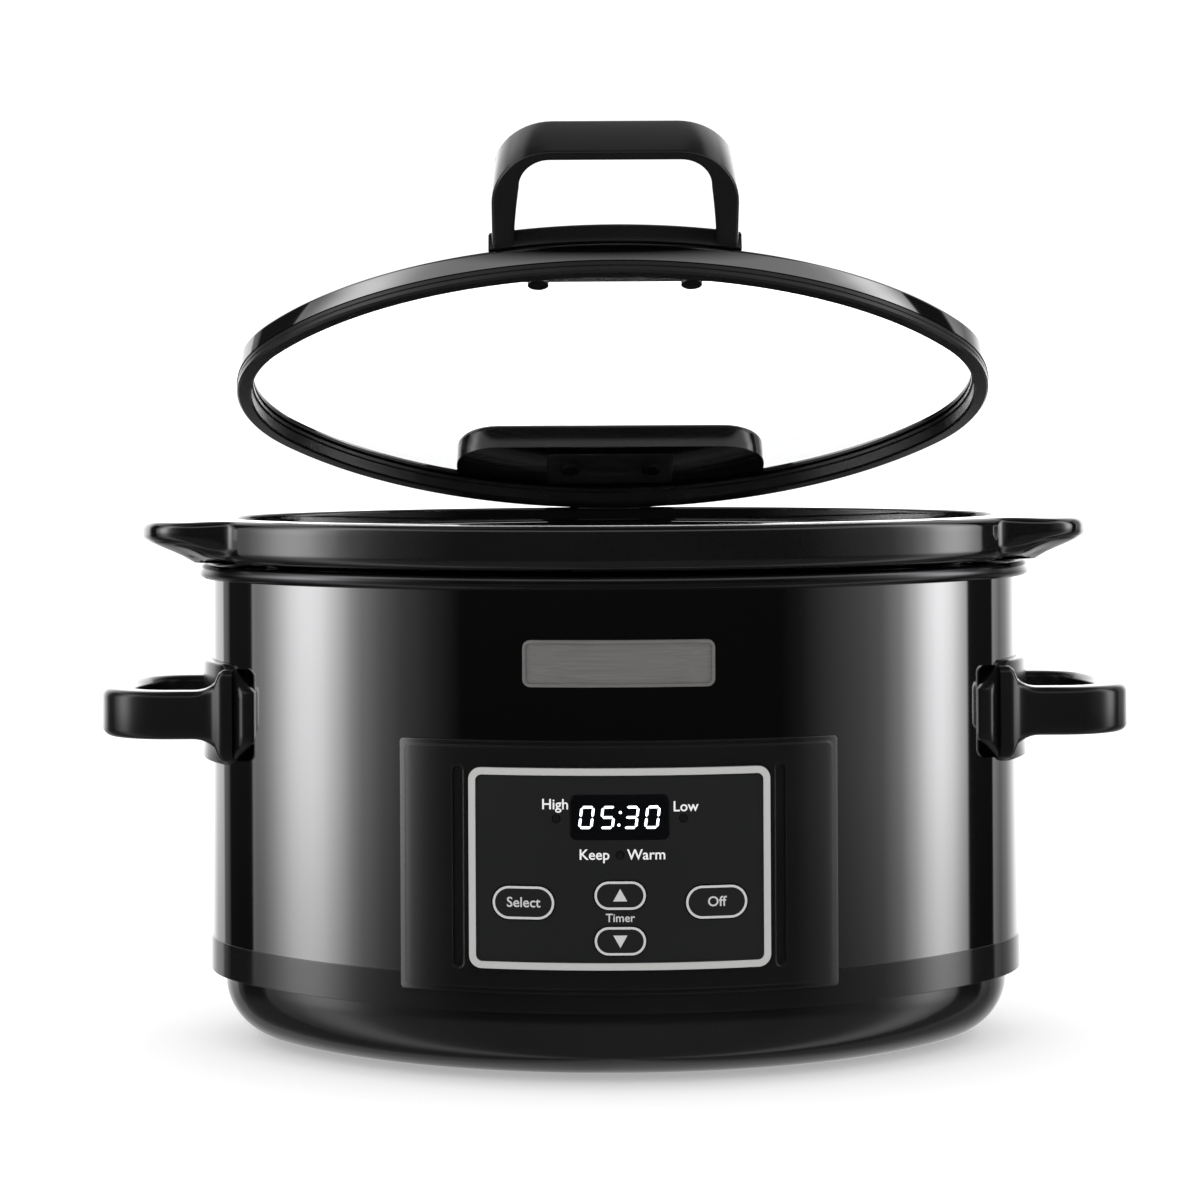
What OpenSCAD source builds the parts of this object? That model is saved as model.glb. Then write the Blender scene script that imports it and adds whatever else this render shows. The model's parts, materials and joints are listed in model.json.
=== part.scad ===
// Oval slow cooker with a hinged glass lid, a lift-out glazed crock and a digital front panel.
// The origin is on the table under the middle of the whole cooker: +X right, +Y back, +Z up.
// The modules draw about the middle of the body, and centred() moves each piece to the origin.
// Every oval is the body's own four-arc oval, grown or shrunk by a distance.

/* [Body oval] */
// Width of the steel body, end to end
body_w = 337; // [280:1:405]
// Depth of the steel body, front to back
body_d = 260; // [216:1:312]

/* [Heights] */
// Height of the rubber feet below the base
foot_h = 2; // [1.5:0.5:6]
// Height of the rounded bowl under the base band
bowl_h = 28; // [25:1:34]
// radius of the round under the bowl
bowl_r = 24; // [20:1:28]
// Height of the base band
band_h = 14; // [13:1:20]
// Height of the steel wrap
wrap_h = 148; // [130:1:178]
// Height of the crock's rim above the top of the wrap
rim_rise = 25; // [21:1:30]

/* [Walls] */
// Thickness of the steel wrap
wrap_t = 0.8; // [0.5:0.1:1.5]
// Wall of the moulded plastic pieces
shell_t = 2.5; // [2:0.1:3]
// Thickness of the heating well's sheet
well_t = 1; // [0.8:0.1:1.5]
// Distance from the wrap's outside to the well's outside
well_inset = 19; // [17:0.5:22]
// Wall of the crock
crock_t = 6.5; // [5:0.5:8]

/* [Crock] */
// How far the rim stands out past the wrap
rim_out = 7.5; // [6:0.5:10]
// Height of the rim's outer band
rim_h = 17.5; // [14:0.5:18.5]
// Overall width across the two lugs
lug_span = 395; // [375:1:474]
// Length of each lug along the rim
lug_w = 118; // [100:1:122]
// Thickness of each lug
lug_t = 9; // [7:0.5:11]
// Depth of the ledge that the lid sits on, below the rim's top
ledge_h = 6; // [4:0.5:7.5]

/* [Lid] */
// How far inside the wrap's outline the lid's outer edge lies
lid_inset = 10; // [9:0.5:13]
// Height of the lid's steel ring
ring_h = 8; // [7:0.5:10]
// Height of the black lip under the ring
lip_h = 5; // [4:0.5:7]
// Width of the ring over the glass
ring_w = 7; // [6:0.5:9]
// Thickness of the glass
glass_t = 4; // [3:0.5:5]
// Angle that the lid stands open at
lid_open = 24.4; // [0:0.1:75]

/* [Lid handle] */
// Width of the handle loop
loop_w = 97; // [80:1:116]
// Length of the loop from the lid, along its own lean
loop_h = 42; // [38:1:50]
// Depth of the bar that the fingers pull
bar_depth = 25; // [20:1:30]
// Thickness of the bar
bar_t = 4.2; // [3.5:0.1:6]
// Width of each leg, seen from the front
leg_w = 8; // [6:0.5:11]
// Forward lean of the loop from upright, with the lid closed
loop_lean = 60; // [50:1:65]

/* [Side handles] */
// Overall width across the two side handles
handle_span = 428; // [415:1:514]
// Length of each handle along the body
handle_len = 104; // [90:1:120]
// Height of each handle loop
handle_h = 19.5; // [16:0.5:23]
// Thickness of the loop's grip, seen from above
grip_t = 14; // [11:0.5:16]
// Height of the middle of the side handles
handle_z = 138; // [120:1:144]
// Height of each handle's mounting pad
pad_h = 41; // [34:1:44]
// Thickness of the mounting pad
pad_t = 3.5; // [3:0.5:5]

/* [Front panel] */
// Width of the front panel
panel_w = 170; // [150:1:178]
// Height of the front panel
panel_h = 97; // [94:1:112]
// How far the panel stands out from the wrap
panel_out = 3.5; // [3:0.5:5]
// Width of the silver frame
frame_w = 116; // [112:1:118]
// Height of the silver frame
frame_h = 77; // [74:1:82]
// Width of the silver frame's line
frame_line = 2.7; // [2:0.1:3.5]
// Width of the display window
window_w = 38; // [34:1:42]
// Height of the display window
window_h = 17; // [14:1:18]
// Width of the select and off keys
key_w = 24; // [20:1:25]
// Height of the select and off keys
key_h = 13; // [11:0.5:14]
// Width of the arrow keys
arrow_w = 20; // [17:1:21]
// Height of the arrow keys
arrow_h = 11.2; // [9:0.1:12]
// How far a key travels when pressed
key_travel = 0.8; // [0.4:0.1:1]

/* [Hinge] */
// Distance from the lid's rear edge back to the hinge pin
pin_back = 10; // [8:0.5:12]
// Diameter of the hinge pin
pin_d = 4; // [3:0.5:5]
// Width of the hinge foot that plugs into the socket
foot_w = 52; // [44:1:60]
// Thickness of the hinge foot
foot_t = 7.2; // [6:0.2:9]
// Depth that the foot plugs into its socket
plug_depth = 40; // [32:1:48]
// Width of the hinge cover on the glass
cover_w = 137; // [120:1:150]
// Depth of the hinge cover, front to back
cover_d = 50; // [44:1:58]
// Height of the hinge cover above the glass
cover_h = 12; // [10:0.5:15]

/* [Power inlet] */
// Bore of the cord bush at the back
cord_bore = 7.2; // [6:0.1:8]

/* [Fits] */
// Running clearance around keys, plugs and the hinge foot
fit = 0.3; // [0.2:0.05:0.4]
// Radial clearance of the hinge pin in the lid's knuckles
pin_fit = 0.05; // [0.02:0.01:0.1]
// Assembly clearance between fixed pieces
seat = 0.2; // [0.1:0.05:0.3]
// Gap between the crock and the heating well
crock_gap = 2.5; // [2:0.5:4]
// Gap between the lid's edge and the crock's recess
lid_gap = 1; // [0.8:0.1:2]

/* [Hidden] */
$fn = 96;
e = 0.02;

// the four-arc oval: the arcs meet on the slope of a 3-4-5 triangle, so every joint is exact
half_w = body_w / 2;
half_d = body_d / 2;
unit = (half_w - half_d) / 2;
end_cx = 4 * unit;
side_cy = 3 * unit;
end_r = half_w - end_cx;
side_r = half_d + side_cy;
reach = 100;

// heights of the stack
floor_z = foot_h;
band_z = floor_z + bowl_h;
seam_z = band_z + band_h;
wrap_top = seam_z + wrap_h;
rim_top = wrap_top + rim_rise;
rim_low = rim_top - rim_h;
ledge_z = rim_top - ledge_h;
bead_d = 6;
bead_z = wrap_top + bead_d / 2;
band_out = 0.5;
step_in = 5.5;
core_inset = step_in + bowl_r + 12;
feet_r = 9;
feet_x = half_w - step_in - bowl_r - 65;
feet_y = half_d - step_in - bowl_r - 48.5;
stem_r = 3;
stem_fit = 0.1;

// the heating well and what it stands on
well_floor_z = seam_z + 15;
well_low = well_floor_z - well_t;
well_corner = 20;
bead_out = 5;
post_x = 88;
post_y = 44;
stud_r = 2;
boss_r = 6;
boss_top = floor_z + 17;
nut_z = boss_top - 8;
nut_h = 3.2;

// the heater round the well
heater_low = well_floor_z + 10;
heater_high = heater_low + 46;
heater_t = 2.6;
shield_in = -well_inset + heater_t + 1.6;

// the crock
crock_inset = well_inset + well_t + crock_gap;
bore_inset = crock_inset + crock_t;
crock_corner = 18;
pot_core = bore_inset + crock_corner + 12;
rim_round = 3;
lug_low = rim_top - lug_t;
lug_bow = 130;
lug_corner = 24;
lug_fillet = 20;

// the lid, drawn closed and then turned open about the pin
lid_low = ledge_z + seat;
ring_low = lid_low + lip_h;
ring_top = ring_low + ring_h;
ring_t = 0.8;
glass_low = ring_low + 2;
glass_top = glass_low + glass_t;
lid_edge = half_d - lid_inset;
pin_y = lid_edge + pin_back;
pin_z = ring_top - 2;
knuckle_r = pin_d / 2 + 2.5;
knuckle_w = foot_w / 2 + 2;

foot_knuckle = foot_w / 4;
leaf_front = lid_edge - 42;
leaf_back = lid_edge - ring_w - 3;
leaf_top = ring_top + 2.4;
leaf_screw_x = 18;
leaf_screw_y = leaf_front + 12;
loop_screw_x = loop_w / 2 - 18;
loop_screw_y = -lid_edge + 23;
loop_foot_d = 27;
loop_foot_h = 8.5;

// the front panel
panel_low = seam_z - 6.5;
panel_mid = panel_low + panel_h / 2;
frame_mid = seam_z + 41.8;
panel_flange = 2;
flange_w = 2.2;
face_t = 2.5;
face_in = panel_out - face_t;
spigot_in = -6;
spigot_x = panel_w / 2 - 3.5;
spigot_low = seam_z + 5;
spigot_top = panel_low + panel_h - 3.5;
groove_w = 4.2;
groove_h = frame_h + 1;
groove_x = (panel_w + frame_w) / 4 - 9.3;
overlay_t = 0.8;
frame_out = 1.5;
board_front = half_d - 10.5;
board_t = 1.6;
board_w = frame_w - 12;
board_h = frame_h - 10;
board_boss_x = board_w / 2 - 4;
board_boss_z = board_h / 2 - 4;
switch_s = 6;
switch_h = 4.2;
key_flange = 1.2;
select_x = 37;
select_z = -13;
up_z = -10;
down_z = -27.4;
window_z = 19.8;
light_x = 24.3;
light_z = 19.2;
warm_z = 5.4;
light_r = 1.5;

// the badge
badge_w = 74;
badge_h = 18;
badge_z = wrap_top - 28;
badge_t = 1.6;

// the side handles
handle_half = handle_len / 2;
handle_bow = 120;
handle_corner = 30;
pad_half = handle_half + 8;
handle_screw_y = 30;
pad_cut = 14;
arm_x = half_w - 38;
plate_t = 1.2;
head_gap = 1.5;

// the hinge socket on the back
foot_in = half_d + rim_out + 2.4;
socket_half = foot_w / 2 + fit + 5.5;
socket_top = wrap_top - 3;
socket_low = socket_top - plug_depth - 12;
socket_back = foot_in + foot_t + fit + 3;
socket_screw_x = foot_w / 2 - 8;

// the power board under the well
board2_w = 92;
board2_d = 60;
board2_y = 18;
board2_z = floor_z + 12;
board2_hole = 4;
top2_z = board2_z + board_t;

// where the cord leaves
cord_z = seam_z - 7;
bush_t = 1.6;

// distance of the oval's long arc from the middle plane at x, grown by d
function arc_y(x, d) = sqrt(pow(side_r + d, 2) - pow(x, 2)) - side_cy;

// distance of the oval's end arc from the middle plane at y, grown by d
function arc_x(y, d) = end_cx + sqrt(pow(end_r + d, 2) - pow(y, 2));

// ---- shapes that repeat

// the wedge of the plan that one end arc of the oval fills
module end_wedge(s, z0, z1) {
    translate([0, 0, z0]) linear_extrude(height = z1 - z0)
        polygon([[s * end_cx, 0], [s * (end_cx + 4 * reach), 3 * reach],
            [s * (end_cx + 4 * reach), -3 * reach]]);
}

// the wedge that one long arc fills
module side_wedge(s, z0, z1) {
    translate([0, 0, z0]) linear_extrude(height = z1 - z0)
        polygon([[0, -s * side_cy], [end_cx, 0], [end_cx + 4 * reach, s * 3 * reach],
            [-end_cx - 4 * reach, s * 3 * reach], [-end_cx, 0]]);
}

// a solid slab of the body's oval, grown by d, from z0 to z1
module oval_slab(d, z0, z1) {
    for (s = [1, -1]) {
        intersection() {
            translate([s * end_cx, 0, z0]) cylinder(r = end_r + d, h = z1 - z0);
            end_wedge(s, z0, z1);
        }
        intersection() {
            translate([0, -s * side_cy, z0]) cylinder(r = side_r + d, h = z1 - z0);
            side_wedge(s, z0, z1);
        }
    }
}

// an oval tube between two outlines
module oval_tube(d_out, d_in, z0, z1) {
    for (s = [1, -1]) {
        intersection() {
            translate([s * end_cx, 0, z0]) ring(end_r + d_out, end_r + d_in, z1 - z0);
            end_wedge(s, z0, z1);
        }
        intersection() {
            translate([0, -s * side_cy, z0]) ring(side_r + d_out, side_r + d_in, z1 - z0);
            side_wedge(s, z0, z1);
        }
    }
}

// a round tube standing on the plan
module ring(r_out, r_in, h) {
    difference() {
        cylinder(r = r_out, h = h);
        translate([0, 0, -1]) cylinder(r = r_in, h = h + 2);
    }
}

// carries a section round the oval: its x is the distance outside the body's outline, its y is the height
module round_oval() {
    for (s = [1, -1]) {
        intersection() {
            translate([s * end_cx, 0, 0]) rotate_extrude() translate([end_r, 0]) children();
            end_wedge(s, -10, rim_top + 40);
        }
        intersection() {
            translate([0, -s * side_cy, 0]) rotate_extrude() translate([side_r, 0]) children();
            side_wedge(s, -10, rim_top + 40);
        }
    }
}

// a rectangle from corner to corner, for sections
module span(x0, x1, y0, y1) {
    translate([x0, y0]) square([x1 - x0, y1 - y0]);
}

// a rectangle with round corners, centred
module rounded(w, h, r) {
    if (w > 2 * r + e) square([w - 2 * r, h], center = true);
    if (h > 2 * r + e) square([w, h - 2 * r], center = true);
    for (x = [-1, 1], y = [-1, 1]) translate([x * (w / 2 - r), y * (h / 2 - r)]) circle(r = r);
}

// an outline with a bowed far end and round corners, from x0 out to x1
module bowed_end(x0, x1, half, corner, bow) {
    bow_x = x1 - bow;
    corner_y = half - corner;
    corner_x = bow_x + sqrt(pow(bow - corner, 2) - pow(corner_y, 2));
    turn = atan2(corner_y, corner_x - bow_x);
    end_x = bow_x + bow * cos(turn);
    end_y = bow * sin(turn);
    polygon([[x0, -half], [corner_x, -half], [end_x, -end_y],
        [end_x, end_y], [corner_x, half], [x0, half]]);
    for (s = [-1, 1]) translate([corner_x, s * corner_y]) circle(r = corner);
    intersection() {
        translate([bow_x, 0]) circle(r = bow);
        translate([end_x, -end_y]) square([bow, 2 * end_y]);
    }
}

// an upright outline pushed from front to back, between two distances outside the wrap's front
module on_front(lo, hi) {
    intersection() {
        translate([0, side_cy, 0]) difference() {
            cylinder(r = side_r + hi, h = rim_top);
            translate([0, 0, -1]) cylinder(r = side_r + lo, h = rim_top + 2);
        }
        translate([0, -half_d / 2, 0]) rotate([90, 0, 0]) linear_extrude(height = half_d) children();
    }
}

// a round bar along Y, from y0 to y1
module bar_y(x, z, r, y0, y1) {
    translate([x, y1, z]) rotate([90, 0, 0]) cylinder(r = r, h = y1 - y0);
}

// a round bar along Z
module bar_z(x, y, r, z0, z1) {
    translate([x, y, z0]) cylinder(r = r, h = z1 - z0);
}

// a block from corner to corner
module block(x0, x1, y0, y1, z0, z1) {
    translate([x0, y0, z0]) cube([x1 - x0, y1 - y0, z1 - z0]);
}

// both signs of x and y
module four(x, y) {
    for (sx = [-1, 1], sy = [-1, 1]) translate([sx * x, sy * y, 0]) children();
}

// puts the middle of the depth, from the front of the rim to the back of the socket, over the origin
module centred() {
    translate([0, (half_d + rim_out - socket_back) / 2, 0]) children();
}

// turns the lid's pieces open about the hinge pin
module opened() {
    translate([0, pin_y, pin_z]) rotate([-lid_open, 0, 0]) translate([0, -pin_y, -pin_z]) children();
}

// ---- the base and the body

// the outside of the base, shrunk by t: the band and the rounded bowl below it
module base_form(t) {
    round_oval() {
        intersection() {
            translate([-step_in - bowl_r, floor_z + bowl_r]) circle(r = bowl_r - t);
            span(-step_in - bowl_r, 0, floor_z, min(band_z, floor_z + bowl_r));
        }
        if (bowl_h > bowl_r) span(-step_in - bowl_r, -step_in - t, floor_z + bowl_r, band_z);
        span(-core_inset, -step_in - bowl_r, floor_z + t, band_z);
    }
    oval_slab(1 - core_inset, floor_z + t, band_z);
}

// one moulding: the band, the rounded bowl, the floor and its bosses
module base_moulding() {
    color([0.05, 0.05, 0.055]) centred() difference() {
        union() {
            difference() {
                union() {
                    base_form(0);
                    oval_slab(band_out, band_z, seam_z);
                    oval_tube(-wrap_t - seat, -wrap_t - seat - shell_t, seam_z - 1, seam_z + 5);
                }
                base_form(shell_t);
                oval_slab(-step_in - shell_t, band_z - 1, band_z + shell_t);
                oval_slab(-wrap_t - seat - shell_t, band_z + shell_t, seam_z + 6);
            }
            four(post_x, post_y) bar_z(0, 0, boss_r, floor_z + 1, boss_top);
            translate([0, board2_y, 0]) four(board2_w / 2 - board2_hole, board2_d / 2 - board2_hole)
                bar_z(0, 0, 3.5, floor_z + 1, board2_z);
        }
        four(post_x, post_y) {
            bar_z(0, 0, boss_r - 1.6, -1, nut_z + nut_h);
            bar_z(0, 0, stud_r + seat, 0, boss_top + 1);
        }
        translate([0, board2_y, 0]) four(board2_w / 2 - board2_hole, board2_d / 2 - board2_hole)
            bar_z(0, 0, 1.2, floor_z + shell_t, board2_z + 1);
        four(feet_x, feet_y) bar_z(0, 0, stem_r, -1, floor_z + shell_t + 1);
        // air slots under the heater
        for (i = [-4 : 4]) translate([i * 9, -50, floor_z - 1]) linear_extrude(height = shell_t + 2)
            rounded(3, 26, 1.4);
        bar_y(0, cord_z, cord_bore / 2 + bush_t + seat, half_d - 30, half_d + 10);
        on_front(-10, 10) translate([0, panel_mid])
            square([2 * spigot_x + 2 * seat, 2 * (panel_mid - spigot_low) + 2 * seat], center = true);
    }
}

module rubber_feet() {
    color([0.08, 0.08, 0.08]) centred() four(feet_x, feet_y) {
        bar_z(0, 0, feet_r, 0, floor_z);
        bar_z(0, 0, stem_r - stem_fit, floor_z - e, floor_z + shell_t);
    }
}

// the bush that the cord passes through
module cord_bush() {
    color([0.07, 0.07, 0.075]) centred() difference() {
        union() {
            bar_y(0, cord_z, cord_bore / 2 + bush_t, half_d - 8, half_d + band_out + seat);
            bar_y(0, cord_z, cord_bore / 2 + 2 * bush_t, half_d + band_out + seat, half_d + band_out + 2.5);
        }
        bar_y(0, cord_z, cord_bore / 2, half_d - 12, half_d + 12);
    }
}

// the steel wrap, with its window for the panel
module outer_wrap() {
    color([0.22, 0.22, 0.23]) centred() difference() {
        oval_tube(0, -wrap_t, seam_z, wrap_top);
        translate([0, -half_d / 2, 0]) rotate([90, 0, 0]) linear_extrude(height = half_d)
            span(-spigot_x - seat, spigot_x + seat, seam_z - 1, spigot_top + seat);
        for (s = [-1, 1], y = [-1, 1]) translate([s * half_w, y * handle_screw_y, handle_z])
            rotate([0, 90, 0]) cylinder(r = 2.3, h = 40, center = true);
        for (s = [-1, 1]) bar_y(s * socket_screw_x, socket_low + 6, 2.3, half_d - 20, half_d + 20);
    }
}

// the heating well, with its rolled bead at the top and its four studs below
module heating_well() {
    color([0.55, 0.56, 0.58]) centred() {
        round_oval() {
            difference() {
                union() {
                    span(-well_inset - well_t, -well_inset, well_low + well_corner, wrap_top + well_t);
                    span(-well_inset - well_t, bead_out - bead_d / 2, wrap_top, wrap_top + well_t);
                    translate([bead_out - bead_d / 2, bead_z]) circle(d = bead_d);
                    intersection() {
                        translate([-well_inset - well_corner, well_low + well_corner]) difference() {
                            circle(r = well_corner);
                            circle(r = well_corner - well_t);
                        }
                        span(-well_inset - well_corner, 0, 0, well_low + well_corner);
                    }
                }
                translate([bead_out - bead_d / 2, bead_z]) circle(d = bead_d - 2 * well_t);
            }
        }
        oval_slab(-well_inset - well_corner + e, well_low, well_floor_z);
        four(post_x, post_y) bar_z(0, 0, stud_r, nut_z - 1, well_low + e);
    }
}

module well_spacers() {
    color([0.85, 0.83, 0.78]) centred() four(post_x, post_y) difference() {
        bar_z(0, 0, 5, boss_top, well_low);
        bar_z(0, 0, stud_r + seat, boss_top - 1, well_low + 1);
    }
}

module well_nuts() {
    color([0.7, 0.7, 0.72]) centred() four(post_x, post_y) difference() {
        translate([0, 0, nut_z]) cylinder(r = 4, h = nut_h, $fn = 6);
        bar_z(0, 0, stud_r, nut_z - 1, nut_z + nut_h + 1);
    }
}

// ---- the heater and its controls

module heater_band() {
    color([0.75, 0.72, 0.62]) centred() {
        oval_tube(-well_inset + heater_t, -well_inset, heater_low, heater_high);
        for (x = [-9, 9]) block(x - 3, x + 3, half_d - well_inset + heater_t - 1,
            half_d - well_inset + heater_t + 5, heater_low + 4, heater_low + 12);
    }
}

// a steel strap round the heater, drawn up at the back
module heater_clamp() {
    color([0.62, 0.62, 0.64]) centred() {
        oval_tube(-well_inset + heater_t + 0.6, -well_inset + heater_t, heater_high - 14, heater_high - 6);
        for (s = [-1, 1]) block(s * 5 - 0.6, s * 5 + 0.6, half_d - well_inset + heater_t + 0.5,
            half_d - well_inset + heater_t + 9, heater_high - 14, heater_high - 6);
        translate([-9, half_d - well_inset + heater_t + 5, heater_high - 10])
            rotate([0, 90, 0]) cylinder(r = 1.5, h = 18);
    }
}

// the sheet that keeps the heat off the control board
module heat_shield() {
    color([0.8, 0.8, 0.82]) centred() on_front(shield_in, shield_in + 0.5) translate([0, frame_mid])
        square([board_w + 16, board_h + 20], center = true);
}

module temperature_sensor() {
    color([0.7, 0.68, 0.6]) centred() {
        bar_z(0, 0, 9, well_low - 6, well_low);
        bar_z(0, 0, 3, well_low - 9, well_low - 6 + e);
    }
}

module sensor_clip() {
    color([0.6, 0.6, 0.62]) centred() difference() {
        union() {
            bar_z(0, 0, 13, well_low - 1.2, well_low);
            bar_z(0, 0, 10.2, well_low - 7.2, well_low);
        }
        bar_z(0, 0, 9 + 0.1, well_low - 6, well_low + 1);
        bar_z(0, 0, 3.4, well_low - 9, well_low - 5);
    }
}

module thermal_fuse() {
    color([0.82, 0.8, 0.74]) centred() {
        translate([-26, 0, well_low - 3.2]) rotate([0, 90, 0]) cylinder(r = 3, h = 12);
        translate([-34, 0, well_low - 3.2]) rotate([0, 90, 0]) cylinder(r = 0.7, h = 28 - 7);
    }
}

module power_board() {
    color([0.1, 0.35, 0.16]) centred() translate([0, board2_y, 0]) difference() {
        block(-board2_w / 2, board2_w / 2, -board2_d / 2, board2_d / 2, board2_z, board2_z + board_t);
        four(board2_w / 2 - board2_hole, board2_d / 2 - board2_hole)
            bar_z(0, 0, 1.6, board2_z - 1, board2_z + 3);
    }
}

module power_relay() {
    color([0.1, 0.2, 0.5]) centred() block(-36, -17, board2_y - 20, board2_y - 4, top2_z, top2_z + 15.5);
}

module power_transformer() {
    color([0.75, 0.6, 0.2]) centred() {
        block(6, 32, board2_y - 20, board2_y + 2, top2_z, top2_z + 20);
        block(2, 36, board2_y - 15, board2_y - 3, top2_z + 4, top2_z + 16);
    }
}

module terminal_block() {
    color([0.15, 0.4, 0.2]) centred() difference() {
        block(-16, 16, board2_y + 12, board2_y + 22, top2_z, top2_z + 11);
        for (i = [-1.5 : 1.5]) {
            bar_z(i * 7.5, board2_y + 17, 1.8, top2_z + 6, top2_z + 12);
            bar_y(i * 7.5, top2_z + 4, 1.6, board2_y + 17, board2_y + 23);
        }
    }
}

// a pan head screw pointing down the -Z axis
module pan_screw(shank_r, head_r, length, head_h) {
    translate([0, 0, -length]) cylinder(r = shank_r, h = length + e);
    difference() {
        cylinder(r = head_r, h = head_h);
        for (turn = [0, 90]) rotate([0, 0, turn])
            block(-head_r * 0.6, head_r * 0.6, -0.5, 0.5, head_h * 0.5, head_h + 1);
    }
}

module power_board_screws() {
    color([0.7, 0.7, 0.72]) centred() translate([0, board2_y, top2_z])
        four(board2_w / 2 - board2_hole, board2_d / 2 - board2_hole) pan_screw(1.2, 2.8, 9, 2);
}

// ---- the front panel

// places a key or a lamp on the panel, from the middle of the silver frame
module at_panel(x, z) {
    translate([x, frame_mid + z]) children();
}

module key_outlines(grow) {
    for (s = [-1, 1]) at_panel(s * select_x, select_z)
        rounded(key_w + 2 * grow, key_h + 2 * grow, key_h / 2 + grow);
    for (z = [up_z, down_z]) at_panel(0, z)
        rounded(arrow_w + 2 * grow, arrow_h + 2 * grow, arrow_h / 2 + grow);
}

module light_holes(r) {
    for (s = [-1, 1]) at_panel(s * light_x, light_z) circle(r = r);
    at_panel(0, warm_z) circle(r = r);
}

module window_outline(grow) {
    at_panel(0, window_z) rounded(window_w + 2 * grow, window_h + 2 * grow, 2.5 + grow);
}

// the black moulding: a thin flange, a raised face with two grooves, and a spigot through the wrap
module panel_bezel() {
    color([0.05, 0.05, 0.055]) centred() difference() {
        union() {
            difference() {
                union() {
                    on_front(band_out, panel_flange) translate([0, panel_mid])
                        rounded(panel_w, panel_h, 1.5);
                    on_front(band_out, panel_out) translate([0, panel_mid])
                        rounded(panel_w - 2 * flange_w, panel_h - 2 * flange_w, 2);
                }
                // the face is a wall, open behind
                on_front(-1, face_in) span(-spigot_x + shell_t, spigot_x - shell_t,
                    spigot_low + shell_t, spigot_top - shell_t);
            }
            on_front(spigot_in, panel_flange) difference() {
                span(-spigot_x, spigot_x, spigot_low, spigot_top);
                span(-spigot_x + shell_t, spigot_x - shell_t, spigot_low + shell_t, spigot_top - shell_t);
            }
            // snap hooks behind the wrap
            for (s = [-1, 1]) on_front(-wrap_t - seat - 1.8, -wrap_t - seat)
                span(s * 50 - 5, s * 50 + 5, spigot_top - 1, spigot_top + 1.6);
            for (x = [-1, 1], z = [-1, 1]) bar_y(x * board_boss_x, frame_mid + z * board_boss_z, 3,
                -arc_y(board_boss_x, panel_out - 1), -board_front);
        }
        // the two upright grooves
        for (s = [-1, 1]) on_front(panel_out - 1.4, panel_out + 1) at_panel(s * groove_x, 0)
            rounded(groove_w, groove_h, groove_w / 2);
        on_front(-1, panel_out + 1) key_outlines(fit);
        on_front(-1, panel_out + 1) light_holes(light_r + seat);
        on_front(-1, panel_out + 1) window_outline(-1);
        on_front(face_in + 0.7, panel_out + 1) window_outline(seat);
        for (x = [-1, 1], z = [-1, 1]) bar_y(x * board_boss_x, frame_mid + z * board_boss_z, 1.1,
            -board_front - 6, -board_front + 1);
    }
}

module panel_overlay() {
    color([0.16, 0.16, 0.17]) centred() on_front(panel_out, panel_out + overlay_t) difference() {
        at_panel(0, 0)
            rounded(frame_w - 2 * frame_line - 2 * seat, frame_h - 2 * frame_line - 2 * seat, 2.2);
        key_outlines(fit);
        light_holes(light_r + seat);
        window_outline(seat);
    }
}

module panel_frame() {
    color([0.72, 0.72, 0.7]) centred() on_front(panel_out, panel_out + frame_out) difference() {
        at_panel(0, 0) rounded(frame_w, frame_h, 4.8);
        at_panel(0, 0) rounded(frame_w - 2 * frame_line, frame_h - 2 * frame_line, 2.4);
    }
}

module display_window() {
    color([0.02, 0.02, 0.03, 0.8]) centred()
        on_front(face_in + 0.7, panel_out + overlay_t) window_outline(0);
}

module display_module() {
    color([0.03, 0.03, 0.04]) centred()
        block(-window_w / 2 + 2, window_w / 2 - 2, -board_front - 7, -board_front,
        frame_mid + window_z - window_h / 2 + 1, frame_mid + window_z + window_h / 2 - 1);
}

// light pipes from the lamps on the board to the face
module status_lights() {
    color([0.8, 0.85, 0.9]) centred() {
        for (s = [-1, 1]) bar_y(s * light_x, frame_mid + light_z, light_r,
            -arc_y(light_x, panel_out + overlay_t), -board_front);
        bar_y(0, frame_mid + warm_z, light_r, -half_d - panel_out - overlay_t, -board_front);
    }
}

module control_board() {
    color([0.1, 0.35, 0.16]) centred() difference() {
        block(-board_w / 2, board_w / 2, -board_front, -board_front + board_t,
            frame_mid - board_h / 2, frame_mid + board_h / 2);
        for (x = [-1, 1], z = [-1, 1]) bar_y(x * board_boss_x, frame_mid + z * board_boss_z, 1.5,
            -board_front - 1, -board_front + board_t + 1);
    }
}

module tact_switches() {
    color([0.15, 0.15, 0.16]) centred()
        for (p = [[-select_x, select_z], [select_x, select_z], [0, up_z], [0, down_z]]) {
            block(p[0] - switch_s / 2, p[0] + switch_s / 2, -board_front - switch_h + 1, -board_front,
                frame_mid + p[1] - switch_s / 2, frame_mid + p[1] + switch_s / 2);
            bar_y(p[0], frame_mid + p[1], 1.75, -board_front - switch_h, -board_front);
        }
}

module control_board_screws() {
    color([0.7, 0.7, 0.72]) centred() for (x = [-1, 1], z = [-1, 1])
        translate([x * board_boss_x, -board_front + board_t, frame_mid + z * board_boss_z])
            rotate([-90, 0, 0]) pan_screw(1.1, 2.4, 5, 1.4);
}

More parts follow.
